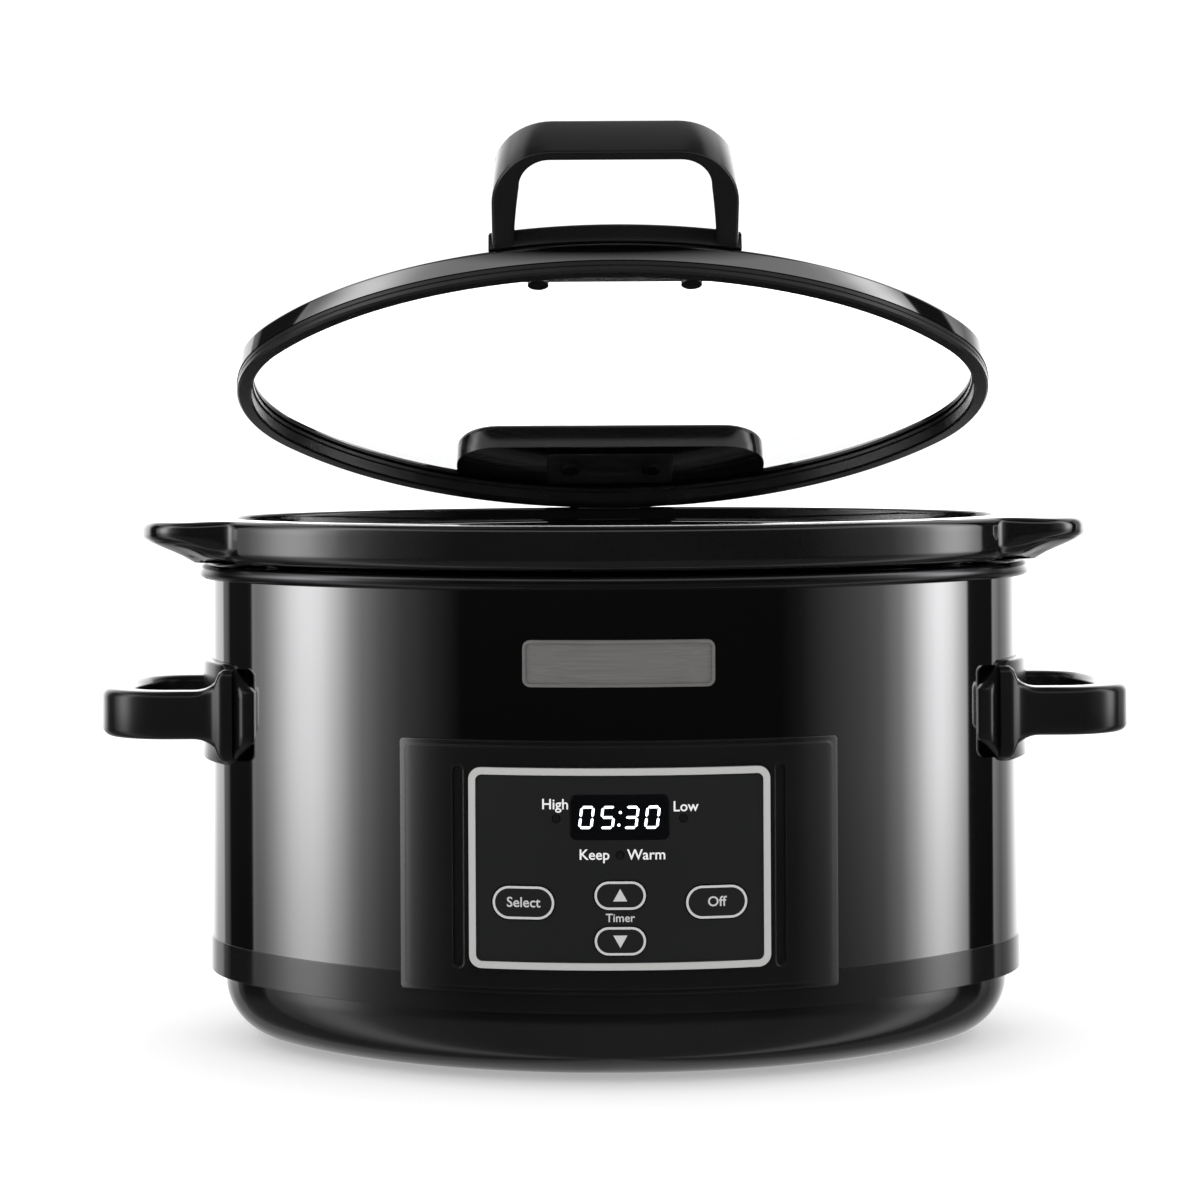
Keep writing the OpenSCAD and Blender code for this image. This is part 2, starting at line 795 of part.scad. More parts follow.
// a key: its cap through the face, the flange that keeps it in, and the post that meets the switch
module panel_key(x, z, w, h) {
    on_front(face_in - fit - 1.5, panel_out + overlay_t + 0.4) at_panel(x, z) rounded(w, h, h / 2);
    on_front(face_in - fit - 1.5, face_in - fit) at_panel(x, z)
        rounded(w + 2 * key_flange, h + 2 * key_flange, h / 2 + key_flange);
    post_back = board_front + switch_h + key_travel + 0.1;
    bar_y(x, frame_mid + z, 2.2, -arc_y(x, face_in - fit - 0.7), -post_back);
}

module key_select() {
    color([0.14, 0.14, 0.15]) centred() panel_key(-select_x, select_z, key_w, key_h);
}

module key_off() {
    color([0.14, 0.14, 0.15]) centred() panel_key(select_x, select_z, key_w, key_h);
}

module key_up() {
    color([0.14, 0.14, 0.15]) centred() panel_key(0, up_z, arrow_w, arrow_h);
}

module key_down() {
    color([0.14, 0.14, 0.15]) centred() panel_key(0, down_z, arrow_w, arrow_h);
}

// a plain plate with a raised border
module badge_plate() {
    color([0.5, 0.49, 0.47]) centred() difference() {
        on_front(0, badge_t) translate([0, badge_z]) rounded(badge_w, badge_h, 3);
        on_front(badge_t - 0.6, badge_t + 1) translate([0, badge_z])
            rounded(badge_w - 2.6, badge_h - 2.6, 1.8);
    }
}

// ---- the side handles

// the pad lies on the wrap; the loop stands out from it
module side_handle() {
    difference() {
        union() {
            intersection() {
                oval_tube(pad_t, 0, handle_z - pad_h / 2, handle_z + pad_h / 2);
                translate([half_w / 2, 0, handle_z]) rotate([90, 0, 90]) linear_extrude(height = half_w)
                    pad_outline(pad_half, pad_h / 2, handle_h / 2);
            }
            difference() {
                translate([0, 0, handle_z - handle_h / 2]) linear_extrude(height = handle_h) difference() {
                    bowed_end(arm_x, handle_span / 2, handle_half, handle_corner, handle_bow);
                    bowed_end(arm_x - 5, handle_span / 2 - grip_t, handle_half - grip_t,
                        handle_corner - grip_t + 4, handle_bow - grip_t);
                }
                translate([end_cx, 0, handle_z - handle_h])
                    cylinder(r = end_r + pad_t / 2, h = 2 * handle_h);
            }
        }
        for (y = [-1, 1]) translate([half_w - 20, y * handle_screw_y, handle_z])
            rotate([0, 90, 0]) cylinder(r = 1.7, h = 20 + pad_t - 1.4);
    }
}

// a plate outline whose four corners are cut off
module pad_outline(x, y, cut) {
    polygon([[-x, -cut], [-x + pad_cut, -y], [x - pad_cut, -y], [x, -cut],
        [x, cut], [x - pad_cut, y], [-x + pad_cut, y], [-x, cut]]);
}

module right_handle() {
    color([0.06, 0.06, 0.065]) centred() side_handle();
}

module left_handle() {
    color([0.06, 0.06, 0.065]) centred() mirror([1, 0, 0]) side_handle();
}

module handle_plates() {
    color([0.6, 0.6, 0.62]) centred() for (s = [-1, 1]) difference() {
        intersection() {
            oval_tube(-wrap_t, -wrap_t - plate_t, handle_z - 9, handle_z + 9);
            block(s > 0 ? 0 : -half_w, s > 0 ? half_w : 0, -44, 44, 0, rim_top);
        }
        for (y = [-1, 1]) translate([s * half_w, y * handle_screw_y, handle_z])
            rotate([0, 90, 0]) cylinder(r = 2.2, h = 40, center = true);
    }
}

module handle_screws() {
    color([0.7, 0.7, 0.72]) centred() for (s = [-1, 1], y = [-1, 1])
        translate([s * (arc_x(handle_screw_y, -wrap_t - plate_t) - head_gap), y * handle_screw_y, handle_z])
            rotate([0, -s * 90, 0]) pan_screw(1.7, 3.6, head_gap + 3.9, 2);
}

// ---- the crock

// the concave corners where a lug leaves the oval rim
module lug_webs() {
    rim_r = end_r + rim_out;
    fillet_y = lug_w / 2 + lug_fillet;
    fillet_x = end_cx + sqrt(pow(rim_r + lug_fillet, 2) - pow(fillet_y, 2));
    meet = rim_r / (rim_r + lug_fillet);
    for (s = [-1, 1]) difference() {
        polygon([[fillet_x, s * lug_w / 2], [fillet_x, s * fillet_y],
            [end_cx + meet * (fillet_x - end_cx), s * meet * fillet_y],
            [end_cx, 0], [fillet_x - lug_fillet, 0]]);
        translate([fillet_x, s * fillet_y]) circle(r = lug_fillet);
    }
}

// a solid pot shape: an oval with a round bottom corner, from z0 up to z1
module pot_form(inset, corner, z0, z1) {
    round_oval() {
        intersection() {
            translate([-inset - corner, z0 + corner]) circle(r = corner);
            span(-inset - corner, 0, z0, z0 + corner);
        }
        span(-pot_core, -inset - corner, z0, z0 + corner);
    }
    oval_slab(1 - pot_core, z0, z0 + corner);
    oval_slab(-inset, z0 + corner, z1);
}

module crock() {
    color([0.03, 0.03, 0.03]) centred() difference() {
        union() {
            pot_form(crock_inset, crock_corner, well_floor_z, rim_low + 1);
            // the rim, with its outer edge rounded
            round_oval() {
                span(-bore_inset - 4, rim_out - rim_round, rim_low, rim_top);
                span(-bore_inset - 4, rim_out, rim_low + rim_round, rim_top - rim_round);
                for (z = [rim_low + rim_round, rim_top - rim_round])
                    translate([rim_out - rim_round, z]) circle(r = rim_round);
            }
            for (s = [0, 1]) mirror([s, 0, 0]) translate([0, 0, lug_low])
                linear_extrude(height = lug_t - 0.6) {
                    bowed_end(end_cx + end_r - 20, lug_span / 2, lug_w / 2, lug_corner, lug_bow);
                    lug_webs();
                }
        }
        // the cooking space, round at the bottom corner
        pot_form(bore_inset, crock_corner - 4, well_floor_z + crock_t, rim_top + 1);
        // the recess for the lid
        oval_slab(-lid_inset + lid_gap, ledge_z, rim_top + 1);
        // a shallow hollow under the foot
        oval_slab(-crock_inset - crock_corner - 8, well_floor_z - 1, well_floor_z + 1.2);
    }
}

// ---- the hinge

module hinge_socket() {
    color([0.05, 0.05, 0.055]) centred() difference() {
        translate([0, 0, socket_low]) linear_extrude(height = socket_top - socket_low) intersection() {
            translate([0, socket_back - 25]) rounded(2 * socket_half, 50, 5);
            translate([-half_w, 0]) square([body_w, body_d]);
        }
        translate([0, -side_cy, 0]) cylinder(r = side_r + seat, h = rim_top);
        block(-foot_w / 2 - fit, foot_w / 2 + fit, foot_in - fit, foot_in + foot_t + fit,
            socket_top - plug_depth - 1, rim_top);
        for (s = [-1, 1]) bar_y(s * socket_screw_x, socket_low + 6, 1.7, 0, half_d + 12);
    }
}

module socket_plate() {
    color([0.6, 0.6, 0.62]) centred() difference() {
        intersection() {
            translate([0, -side_cy, 0]) difference() {
                cylinder(r = side_r - wrap_t, h = rim_top);
                translate([0, 0, -1]) cylinder(r = side_r - wrap_t - plate_t, h = rim_top + 2);
            }
            block(-socket_half, socket_half, 0, body_d, socket_low, socket_low + 14);
        }
        for (s = [-1, 1]) bar_y(s * socket_screw_x, socket_low + 6, 2.2, 0, body_d);
    }
}

module socket_screws() {
    color([0.7, 0.7, 0.72]) centred() for (s = [-1, 1])
        translate([s * socket_screw_x, arc_y(socket_screw_x, -wrap_t - plate_t) - 0.5, socket_low + 6])
            rotate([90, 0, 0]) pan_screw(1.7, 3.6, 12, 2);
}

// the foot plugs down into the socket and hooks forward over the rim to the pin
module hinge_foot() {
    color([0.06, 0.06, 0.065]) centred() difference() {
        union() {
            block(-foot_w / 2, foot_w / 2, foot_in, foot_in + foot_t,
                socket_top - plug_depth, rim_top - 1);
            block(-foot_knuckle, foot_knuckle, foot_in, foot_in + foot_t, rim_top - 2, pin_z + knuckle_r);
            block(-foot_knuckle, foot_knuckle, pin_y, foot_in + e, pin_z - knuckle_r, pin_z + knuckle_r);
            translate([-foot_knuckle, pin_y, pin_z]) rotate([0, 90, 0])
                cylinder(r = knuckle_r, h = 2 * foot_knuckle);
        }
        translate([-foot_w, pin_y, pin_z]) rotate([0, 90, 0]) cylinder(r = pin_d / 2, h = 2 * foot_w);
    }
}

module hinge_pin() {
    color([0.75, 0.75, 0.77]) centred() translate([-knuckle_w, pin_y, pin_z]) rotate([0, 90, 0])
        cylinder(r = pin_d / 2, h = 2 * knuckle_w);
}

// the leaf lies on the glass, steps over the ring and ends in two knuckles
module hinge_leaf() {
    color([0.6, 0.6, 0.62]) centred() opened() difference() {
        union() {
            block(-knuckle_w, knuckle_w, leaf_front, leaf_back, glass_top, leaf_top);
            block(-knuckle_w, knuckle_w, leaf_back - e, pin_y - knuckle_r - 1, ring_top + seat, leaf_top);
            for (s = [-1, 1]) {
                block(s > 0 ? foot_knuckle + fit : -knuckle_w, s > 0 ? knuckle_w : -foot_knuckle - fit,
                    pin_y - knuckle_r - 1.1, pin_y, ring_top + seat, leaf_top);
                translate([s > 0 ? foot_knuckle + fit : -knuckle_w, pin_y, pin_z]) rotate([0, 90, 0])
                    cylinder(r = knuckle_r, h = knuckle_w - foot_knuckle - fit);
            }
        }
        translate([-foot_w, pin_y, pin_z]) rotate([0, 90, 0])
            cylinder(r = pin_d / 2 + pin_fit, h = 2 * foot_w);
        for (s = [-1, 1]) bar_z(s * leaf_screw_x, leaf_screw_y, 1.8, glass_low, leaf_top + 1);
    }
}

module leaf_screws() {
    color([0.1, 0.1, 0.1]) centred() opened() for (s = [-1, 1])
        translate([s * leaf_screw_x, leaf_screw_y, glass_low]) rotate([180, 0, 0])
            pan_screw(1.8, 4.2, glass_t + leaf_top - glass_top, 1.6);
}

// a slab of the hinge cover, clipped to an oval
module cover_slab(d, shrink, z0, z1) {
    intersection() {
        oval_slab(d, z0, z1);
        translate([0, lid_edge, z0 - 1]) linear_extrude(height = z1 - z0 + 2)
            rounded(cover_w - 2 * shrink, 2 * (cover_d + 2 - shrink), 19 - shrink);
    }
}

module hinge_cover() {
    color([0.05, 0.05, 0.055]) centred() opened() difference() {
        union() {
            cover_slab(-lid_inset - ring_w - seat, 0, glass_top, glass_top + cover_h);
            cover_slab(-lid_inset, 0, ring_top + seat, glass_top + cover_h);
        }
        cover_slab(-lid_inset - ring_w - seat - shell_t, shell_t,
            glass_top - 1, glass_top + cover_h - shell_t);
        block(-knuckle_w - 1, knuckle_w + 1, leaf_front - 1, pin_y, glass_top - 1, leaf_top + seat);
    }
}

// ---- the lid

module lid_glass() {
    color([0.85, 0.9, 0.9, 0.35]) centred() opened() difference() {
        oval_slab(-lid_inset - 1.7, glass_low, glass_top);
        for (s = [-1, 1]) {
            bar_z(s * leaf_screw_x, leaf_screw_y, 2.2, glass_low - 1, glass_top + 1);
            bar_z(s * loop_screw_x, loop_screw_y, 2.2, glass_low - 1, glass_top + 1);
        }
    }
}

// the rolled steel ring: an outer wall and a top flange
module lid_ring() {
    color([0.35, 0.34, 0.33]) centred() opened() {
        oval_tube(-lid_inset, -lid_inset - ring_t, ring_low, ring_top);
        oval_tube(-lid_inset - ring_t + e, -lid_inset - ring_w, ring_top - ring_t, ring_top);
    }
}

// the black seal: it grips the glass inside the ring and hangs below it as a lip
module lid_seal() {
    color([0.07, 0.07, 0.07]) centred() opened() difference() {
        union() {
            oval_tube(-lid_inset - ring_t, -lid_inset - ring_w, ring_low - e, ring_top - ring_t);
            oval_tube(-lid_inset - 0.4, -lid_inset - ring_w + 0.6, lid_low, ring_low);
        }
        oval_slab(-lid_inset - 1.7 + 0.05, glass_low, glass_top);
    }
}

// the arch of the lid handle, seen along its own lean
module loop_arch(w, h, r) {
    translate([0, h / 2 - 20]) rounded(w, h + 40, r);
}

// the loop before it leans: a deep bar between two legs that narrow towards the lid
module loop_strap() {
    difference() {
        intersection() {
            translate([0, bar_depth, 0]) rotate([90, 0, 0]) linear_extrude(height = bar_depth)
                loop_arch(loop_w, loop_h, 22);
            rotate([90, 0, 90]) translate([0, 0, -loop_w]) linear_extrude(height = 2 * loop_w)
                polygon([[-1, -30], [-1, loop_h + 1], [bar_depth + 1, loop_h + 1],
                    [bar_depth + 1, loop_h - 14], [12, 5], [12, -30]]);
        }
        translate([0, bar_depth + 1, 0]) rotate([90, 0, 0]) linear_extrude(height = bar_depth + 2)
            loop_arch(loop_w - 2 * leg_w, loop_h - bar_t, 18);
    }
}

module lid_handle() {
    color([0.06, 0.06, 0.065]) centred() opened() difference() {
        union() {
            difference() {
                translate([0, 4 - lid_edge, ring_top + 1]) rotate([loop_lean, 0, 0]) loop_strap();
                block(-loop_w, loop_w, -half_w, half_w, ring_top - 60, ring_top + seat);
            }
            // the foot on the ring and the glass
            loop_foot(-lid_inset, ring_top + seat, ring_top + loop_foot_h);
            loop_foot(-lid_inset - ring_w - seat, glass_top, ring_top + loop_foot_h);
        }
        for (s = [-1, 1]) bar_z(s * loop_screw_x, loop_screw_y, 1.6, glass_top - 1, glass_top + 7);
    }
}

module loop_foot(d, z0, z1) {
    intersection() {
        oval_slab(d, z0, z1);
        translate([0, -lid_edge, z0 - 1]) linear_extrude(height = z1 - z0 + 2)
            rounded(loop_w + 3, 2 * loop_foot_d, 6);
    }
}

module lid_handle_screws() {
    color([0.6, 0.6, 0.62]) centred() opened() for (s = [-1, 1])
        translate([s * loop_screw_x, loop_screw_y, glass_low]) rotate([180, 0, 0])
            pan_screw(1.6, 4.2, glass_t + 6, 1.8);
}

// ---- draw
base_moulding();
rubber_feet();
outer_wrap();
heating_well();
well_spacers();
well_nuts();
heater_band();
heater_clamp();
heat_shield();
temperature_sensor();
sensor_clip();
thermal_fuse();
power_board();
power_relay();
power_transformer();
terminal_block();
power_board_screws();
panel_bezel();
panel_overlay();
panel_frame();
display_window();
display_module();
status_lights();
control_board();
tact_switches();
control_board_screws();
key_select();
key_off();
key_up();
key_down();
badge_plate();
left_handle();
right_handle();
handle_plates();
handle_screws();
crock();
hinge_socket();
socket_plate();
socket_screws();
hinge_foot();
hinge_pin();
hinge_leaf();
leaf_screws();
hinge_cover();
lid_glass();
lid_ring();
lid_seal();
lid_handle();
lid_handle_screws();
cord_bush();
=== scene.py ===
import json
import math

import bmesh
import bpy
from mathutils import Matrix, Vector


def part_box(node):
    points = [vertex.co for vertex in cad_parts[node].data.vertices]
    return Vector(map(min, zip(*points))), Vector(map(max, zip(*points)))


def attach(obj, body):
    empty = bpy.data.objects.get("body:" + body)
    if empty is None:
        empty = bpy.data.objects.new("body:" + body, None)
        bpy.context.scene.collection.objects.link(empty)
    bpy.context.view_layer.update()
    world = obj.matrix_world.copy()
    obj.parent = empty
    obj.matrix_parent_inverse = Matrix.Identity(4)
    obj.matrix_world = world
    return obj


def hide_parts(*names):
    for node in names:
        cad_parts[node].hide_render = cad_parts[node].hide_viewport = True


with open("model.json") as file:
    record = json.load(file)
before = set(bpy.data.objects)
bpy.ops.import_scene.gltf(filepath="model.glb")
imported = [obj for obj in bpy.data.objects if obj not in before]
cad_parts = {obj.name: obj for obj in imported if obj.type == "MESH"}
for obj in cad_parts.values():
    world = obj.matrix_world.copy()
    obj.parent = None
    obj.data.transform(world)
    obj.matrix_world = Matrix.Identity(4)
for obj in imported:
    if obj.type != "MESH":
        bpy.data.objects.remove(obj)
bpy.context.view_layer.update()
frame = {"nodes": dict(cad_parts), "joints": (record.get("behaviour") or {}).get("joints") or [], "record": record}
nodes = frame["nodes"]
joints = {j["name"]: j for j in frame["joints"]}

# ---- Camera ----------------------------------------------------------------
# Level with the top of the open lid's lower half and a metre and a half in front,
# with a long lens, so that the panel and the rim keep their upright lines.
wrap_low, wrap_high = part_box("outer_wrap")
mid_y = (wrap_low.y + wrap_high.y) / 2
camera = bpy.data.objects.new("camera", bpy.data.cameras.new("camera"))
bpy.context.scene.collection.objects.link(camera)
camera.location = (-0.0200, mid_y - 1.475, 0.2615)
camera.rotation_euler = (math.radians(90), math.radians(0.3), 0)
camera.data.lens = 105.4
camera.data.sensor_width = 36
camera.data.shift_x = 0.0290
camera.data.shift_y = -0.1590
bpy.context.scene.camera = camera
bpy.context.scene.view_settings.view_transform = "Standard"


# ---- Room: floor, sky and lamps ----------------------------------------------
# A white table in a room that lights everything evenly with plain white. Only what shines
# sees more: tall soft boxes at both sides, a narrow black flag behind each, a dark front.
class Value:
    """A socket that takes part in arithmetic; each operator adds a Math node."""

    def __init__(self, wiring, socket):
        self.wiring, self.socket = wiring, socket

    def _do(self, operation, a, b=0.0):
        return self.wiring.node("ShaderNodeMath", {"operation": operation}, {0: a, 1: b})

    def __add__(self, other):
        return self._do("ADD", self, other)

    def __sub__(self, other):
        return self._do("SUBTRACT", self, other)

    def __rsub__(self, other):
        return self._do("SUBTRACT", other, self)

    def __mul__(self, other):
        return self._do("MULTIPLY", self, other)

    def __truediv__(self, other):
        return self._do("DIVIDE", self, other)

    def __abs__(self):
        return self._do("ABSOLUTE", self)

    def __gt__(self, other):
        return self._do("GREATER_THAN", self, other)

    __radd__, __rmul__ = __add__, __mul__


class Wiring:
    """The nodes of one tree."""

    def __init__(self, tree):
        self.tree = tree
        tree.nodes.clear()

    def node(self, kind, settings=None, sockets=None, out=0):
        made = self.tree.nodes.new(kind)
        for key, value in (settings or {}).items():
            if key == "stops":
                stops = made.color_ramp.elements
                stops.remove(stops[1])
                stops[0].position, stops[0].color = value[0][0], (*[value[0][1]] * 3, 1)
                for place, level in value[1:]:
                    stops.new(place).color = (level, level, level, 1)
            else:
                setattr(made, key, value)
        for key, value in (sockets or {}).items():
            if isinstance(value, Value):
                self.tree.links.new(value.socket, made.inputs[key])
            else:
                made.inputs[key].default_value = value
        return Value(self, made.outputs[out]) if made.outputs else None

    def mix(self, share, a, b):
        return self.node("ShaderNodeMix", {"data_type": "RGBA"}, {0: share, 6: a, 7: b}, out=2)

    def grain(self, size, detail=2.0, stretch=(1, 1, 1), rough=0.5):
        """Noise of that many waves in a metre, on Object coordinates."""
        place = self.node("ShaderNodeTexCoord", out=3)
        place = self.node("ShaderNodeMapping", None, {0: place, 3: stretch})
        return self.node("ShaderNodeTexNoise", None,
                         {"Vector": place, "Scale": size, "Detail": detail, "Roughness": rough})


class Finish(Wiring):
    """A material that ends in one Principled shader."""

    def __init__(self, name):
        self.material = bpy.data.materials.new(name)
        self.material.use_nodes = True
        super().__init__(self.material.node_tree)

    def shade(self, height=None, depth=0.0, edge=0.0, **sockets):
        """height times depth, in metres, is the bump; edge is the radius that sharp edges show."""
        sockets = {key.replace("_", " "): value for key, value in sockets.items()}
        normal = {}
        if edge:
            normal = {"Normal": self.node("ShaderNodeBevel", {"samples": 4}, {"Radius": edge})}
        if height is not None:
            normal = {"Normal": self.node("ShaderNodeBump", None,
                                          {"Height": height, "Distance": depth, "Strength": 1.0, **normal})}
        shader = self.node("ShaderNodeBsdfPrincipled", None, {**sockets, **normal})
        self.node("ShaderNodeOutputMaterial", None, {"Surface": shader})
        return self.material


world = bpy.data.worlds.new("room")
bpy.context.scene.world = world
world.use_nodes = True
sky = Wiring(world.node_tree)
toward = sky.node("ShaderNodeTexCoord")
parts = sky.node("ShaderNodeSeparateXYZ", None, {0: toward})
axis = [Value(sky, parts.socket.node.outputs[k]) for k in range(3)]
turn = abs(sky.node("ShaderNodeMath", {"operation": "ARCTAN2"}, {0: axis[0], 1: 0 - axis[1]})) / math.pi
rise = sky.node("ShaderNodeMath", {"operation": "ARCSINE"}, {0: axis[2]}) / math.pi + 0.5
left_box = sky.node("ShaderNodeValToRGB", {"stops": [
    (0.0, 0.003), (0.219, 0.003), (0.264, 0.02), (0.311, 0.046), (0.344, 0.088), (0.377, 0.17),
    (0.395, 0.27), (0.412, 0.44), (0.431, 0.62), (0.449, 0.80), (0.469, 0.88), (0.489, 0.86),
    (0.509, 0.75), (0.531, 0.53), (0.553, 0.33), (0.572, 0.21), (0.589, 0.17), (0.598, 0.21),
    (0.601, 0.007), (0.707, 0.008), (0.725, 0.09), (0.754, 0.13), (0.764, 0.45), (0.826, 0.52),
    (0.894, 0.85)]}, {0: turn})
right_box = sky.node("ShaderNodeValToRGB", {"stops": [
    (0.0, 0.003), (0.237, 0.003), (0.268, 0.009), (0.315, 0.034), (0.365, 0.06), (0.40, 0.09),
    (0.436, 0.21), (0.465, 0.49), (0.485, 0.78), (0.505, 0.96), (0.518, 0.98), (0.538, 0.84),
    (0.561, 0.52), (0.574, 0.38), (0.577, 0.007), (0.652, 0.006), (0.658, 0.24), (0.704, 0.13),
    (0.751, 0.23), (0.79, 0.45), (0.84, 0.8), (0.9, 1.0)]}, {0: turn})
side_boxes = sky.mix(axis[0] > 0, left_box, right_box)
level = sky.node("ShaderNodeValToRGB", {"stops": [
    (0.0, 0.05), (0.40, 0.20), (0.44, 0.38), (0.456, 0.55), (0.468, 0.74), (0.482, 0.855), (0.52, 1.0),
    (0.62, 0.8), (0.72, 0.35), (0.80, 0.10), (1.0, 0.04)]}, {0: rise})
overhead = sky.node("ShaderNodeValToRGB", {"stops": [
    (0.0, 0.018), (0.39, 0.018), (0.43, 0.0), (0.66, 0.0), (0.69, 0.15), (0.76, 0.15), (0.80, 0.0),
    (1.0, 0.0)]}, {0: rise})
shine = sky.mix(1.0, side_boxes, level)
shine.socket.node.blend_type = "MULTIPLY"
shine = sky.mix(1.0, shine, overhead)
shine.socket.node.blend_type = "ADD"
path = sky.node("ShaderNodeLightPath")
glossy = Value(sky, path.socket.node.outputs["Is Glossy Ray"])
seen = sky.mix(glossy, (1, 1, 1, 1), shine)
plain_light, more_in_shine = 1.15, 1.62
strength = glossy * more_in_shine + plain_light
backdrop = sky.node("ShaderNodeBackground", None, {"Color": seen, "Strength": strength})
sky.node("ShaderNodeOutputWorld", None, {"Surface": backdrop})

edge_at = 30
floor_mesh = bpy.data.meshes.new("floor")
floor_mesh.from_pydata([(x * edge_at, y * edge_at, 0) for x, y in ((-1, -1), (1, -1), (1, 1), (-1, 1))],
                       [], [(0, 1, 2, 3)])
floor = bpy.data.objects.new("floor", floor_mesh)
bpy.context.scene.collection.objects.link(floor)
table_top = Finish("table_top")
floor_mesh.materials.append(table_top.shade(
    Base_Color=(0.8, 0.8, 0.8, 1), Roughness=0.3, Specular_IOR_Level=0.0,
    Emission_Color=(1, 1, 1, 1), Emission_Strength=0.36))
floor.visible_glossy = False


# ---- Steel wrap --------------------------------------------------------------
# The drum of the body: dark polished stainless sheet, rolled to an oval of four arcs
# and closed at the back. It stands in the base band and carries the well's bead.
MM = 0.001
half_w, half_d = (wrap_high.x - wrap_low.x) / 2, (wrap_high.y - wrap_low.y) / 2
unit = (half_w - half_d) / 2
end_x, end_r = 4 * unit, half_w - 4 * unit
side_y, side_r = 3 * unit, half_d + 3 * unit
meet_cos, meet_sin = 0.8, 0.6  # the direction, on a 3-4-5 triangle, in which the arcs meet


def front_y(x, out):
    """Where the oval's long front arc, grown by out, lies at x."""
    return mid_y + side_y - math.sqrt((side_r + out) ** 2 - x * x)


def finish_mesh(mesh, material, sharp=35):
    """Closes the seams, turns the faces outward and smooths all but the sharp edges."""
    shape = bmesh.new()
    shape.from_mesh(mesh)
    bmesh.ops.remove_doubles(shape, verts=shape.verts, dist=2e-6)
    bmesh.ops.dissolve_degenerate(shape, edges=shape.edges, dist=1e-7)
    bmesh.ops.recalc_face_normals(shape, faces=shape.faces)
    for face in shape.faces:
        face.smooth = True
    for edge in shape.edges:
        edge.smooth = len(edge.link_faces) == 2 and edge.calc_face_angle(0) < math.radians(sharp)
    shape.to_mesh(mesh)
    shape.free()
    mesh.materials.clear()
    mesh.materials.append(material)
    return mesh


def place(name, mesh, body, *stands_for):
    piece = bpy.data.objects.new(name, mesh)
    bpy.context.scene.collection.objects.link(piece)
    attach(piece, body)
    if stands_for:
        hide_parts(*stands_for)
    return piece


bodies = frame["record"]["behaviour"]["bodies"]
body_of = {node: body for body, members in bodies.items() for node in members}


def as_made(material, *names, sharp=35):
    """Solids kept in their own shape: loose triangles joined, so that round faces shade as round."""
    for name in names:
        mesh = nodes[name].data.copy()
        mesh.name = name + "_skin"
        place(name + "_skin", finish_mesh(mesh, material, sharp), body_of[name], name)


sweep_tree = bpy.data.node_groups.new("carried round the oval", "GeometryNodeTree")
for label, kind in (("Section", "Geometry"), ("Half width", "Float"), ("Half depth", "Float"),
                    ("Points", "Int"), ("Finish", "Material")):
    sweep_tree.interface.new_socket(label, in_out="INPUT", socket_type="NodeSocket" + kind)
sweep_tree.interface.new_socket("Geometry", in_out="OUTPUT", socket_type="NodeSocketGeometry")
run = Wiring(sweep_tree)
given = run.node("NodeGroupInput")
given = {s.name: Value(run, s) for s in given.socket.node.outputs if s.name}
section = run.node("GeometryNodeMeshToCurve", None, {0: given["Section"]})
section = run.node("GeometryNodeTransform", None, {"Geometry": section, "Scale": (1, -1, 1)})
angle = run.node("GeometryNodeInputIndex") * (2 * math.pi) / given["Points"]
cosine = run.node("ShaderNodeMath", {"operation": "COSINE"}, {0: angle})
sine = run.node("ShaderNodeMath", {"operation": "SINE"}, {0: angle})
step = (given["Half width"] - given["Half depth"]) / 2
at_end = abs(cosine) > meet_cos
along = run.node("ShaderNodeMath", {"operation": "SIGN"}, {0: cosine}) * 4 * step * at_end
across = run.node("ShaderNodeMath", {"operation": "SIGN"}, {0: sine}) * -3 * step * (1 - at_end)
radius = (given["Half width"] - 4 * step) * at_end + (given["Half depth"] + 3 * step) * (1 - at_end)
spot = run.node("ShaderNodeCombineXYZ", None, {0: along + radius * cosine, 1: across + radius * sine})
loop = run.node("GeometryNodeCurvePrimitiveCircle", None, {"Resolution": given["Points"]})
loop = run.node("GeometryNodeSetPosition", None, {"Geometry": loop, "Position": spot})
loop = run.node("GeometryNodeSetCurveNormal", {"mode": "Z_UP"}, {"Curve": loop})
skin = run.node("GeometryNodeCurveToMesh", None, {"Curve": loop, "Profile Curve": section})
skin = run.node("GeometryNodeRealizeInstances", None, {0: skin})
skin = run.node("GeometryNodeSetMaterial", None, {"Geometry": skin, "Material": given["Finish"]})
run.node("NodeGroupOutput", None, {0: skin})


def carried(name, outline, material, points=288, sharp=35, turned=None):
    """The mesh of a section, as (distance outside the wrap, height) in metres, carried round the oval."""
    mesh = bpy.data.meshes.new(name)
    ends = [(k, (k + 1) % len(outline)) for k in range(len(outline))]
    mesh.from_pydata([(out, z, 0) for out, z in outline], ends, [])
    holder = bpy.data.objects.new(name, mesh)
    bpy.context.scene.collection.objects.link(holder)
    modifier = holder.modifiers.new(name, "NODES")
    modifier.node_group = sweep_tree
    settings = {"Half width": half_w, "Half depth": half_d, "Points": points, "Finish": material}
    for item in sweep_tree.interface.items_tree:
        if item.in_out == "INPUT" and item.name in settings:
            modifier[item.identifier] = settings[item.name]
    view = bpy.context.evaluated_depsgraph_get()
    made = bpy.data.meshes.new_from_object(holder.evaluated_get(view))
    bpy.data.objects.remove(holder)
    made.name = name
    made.transform(Matrix.Translation((0, mid_y, 0)))
    if turned is not None:
        made.transform(turned)
    return finish_mesh(made, material, sharp)


def corner(cx, cz, r, start, end, steps=6):
    """Points on a round corner of a section, angles in degrees."""
    return [(cx + r * math.cos(math.radians(start + (end - start) * k / steps)),
             cz + r * math.sin(math.radians(start + (end - start) * k / steps))) for k in range(steps + 1)]


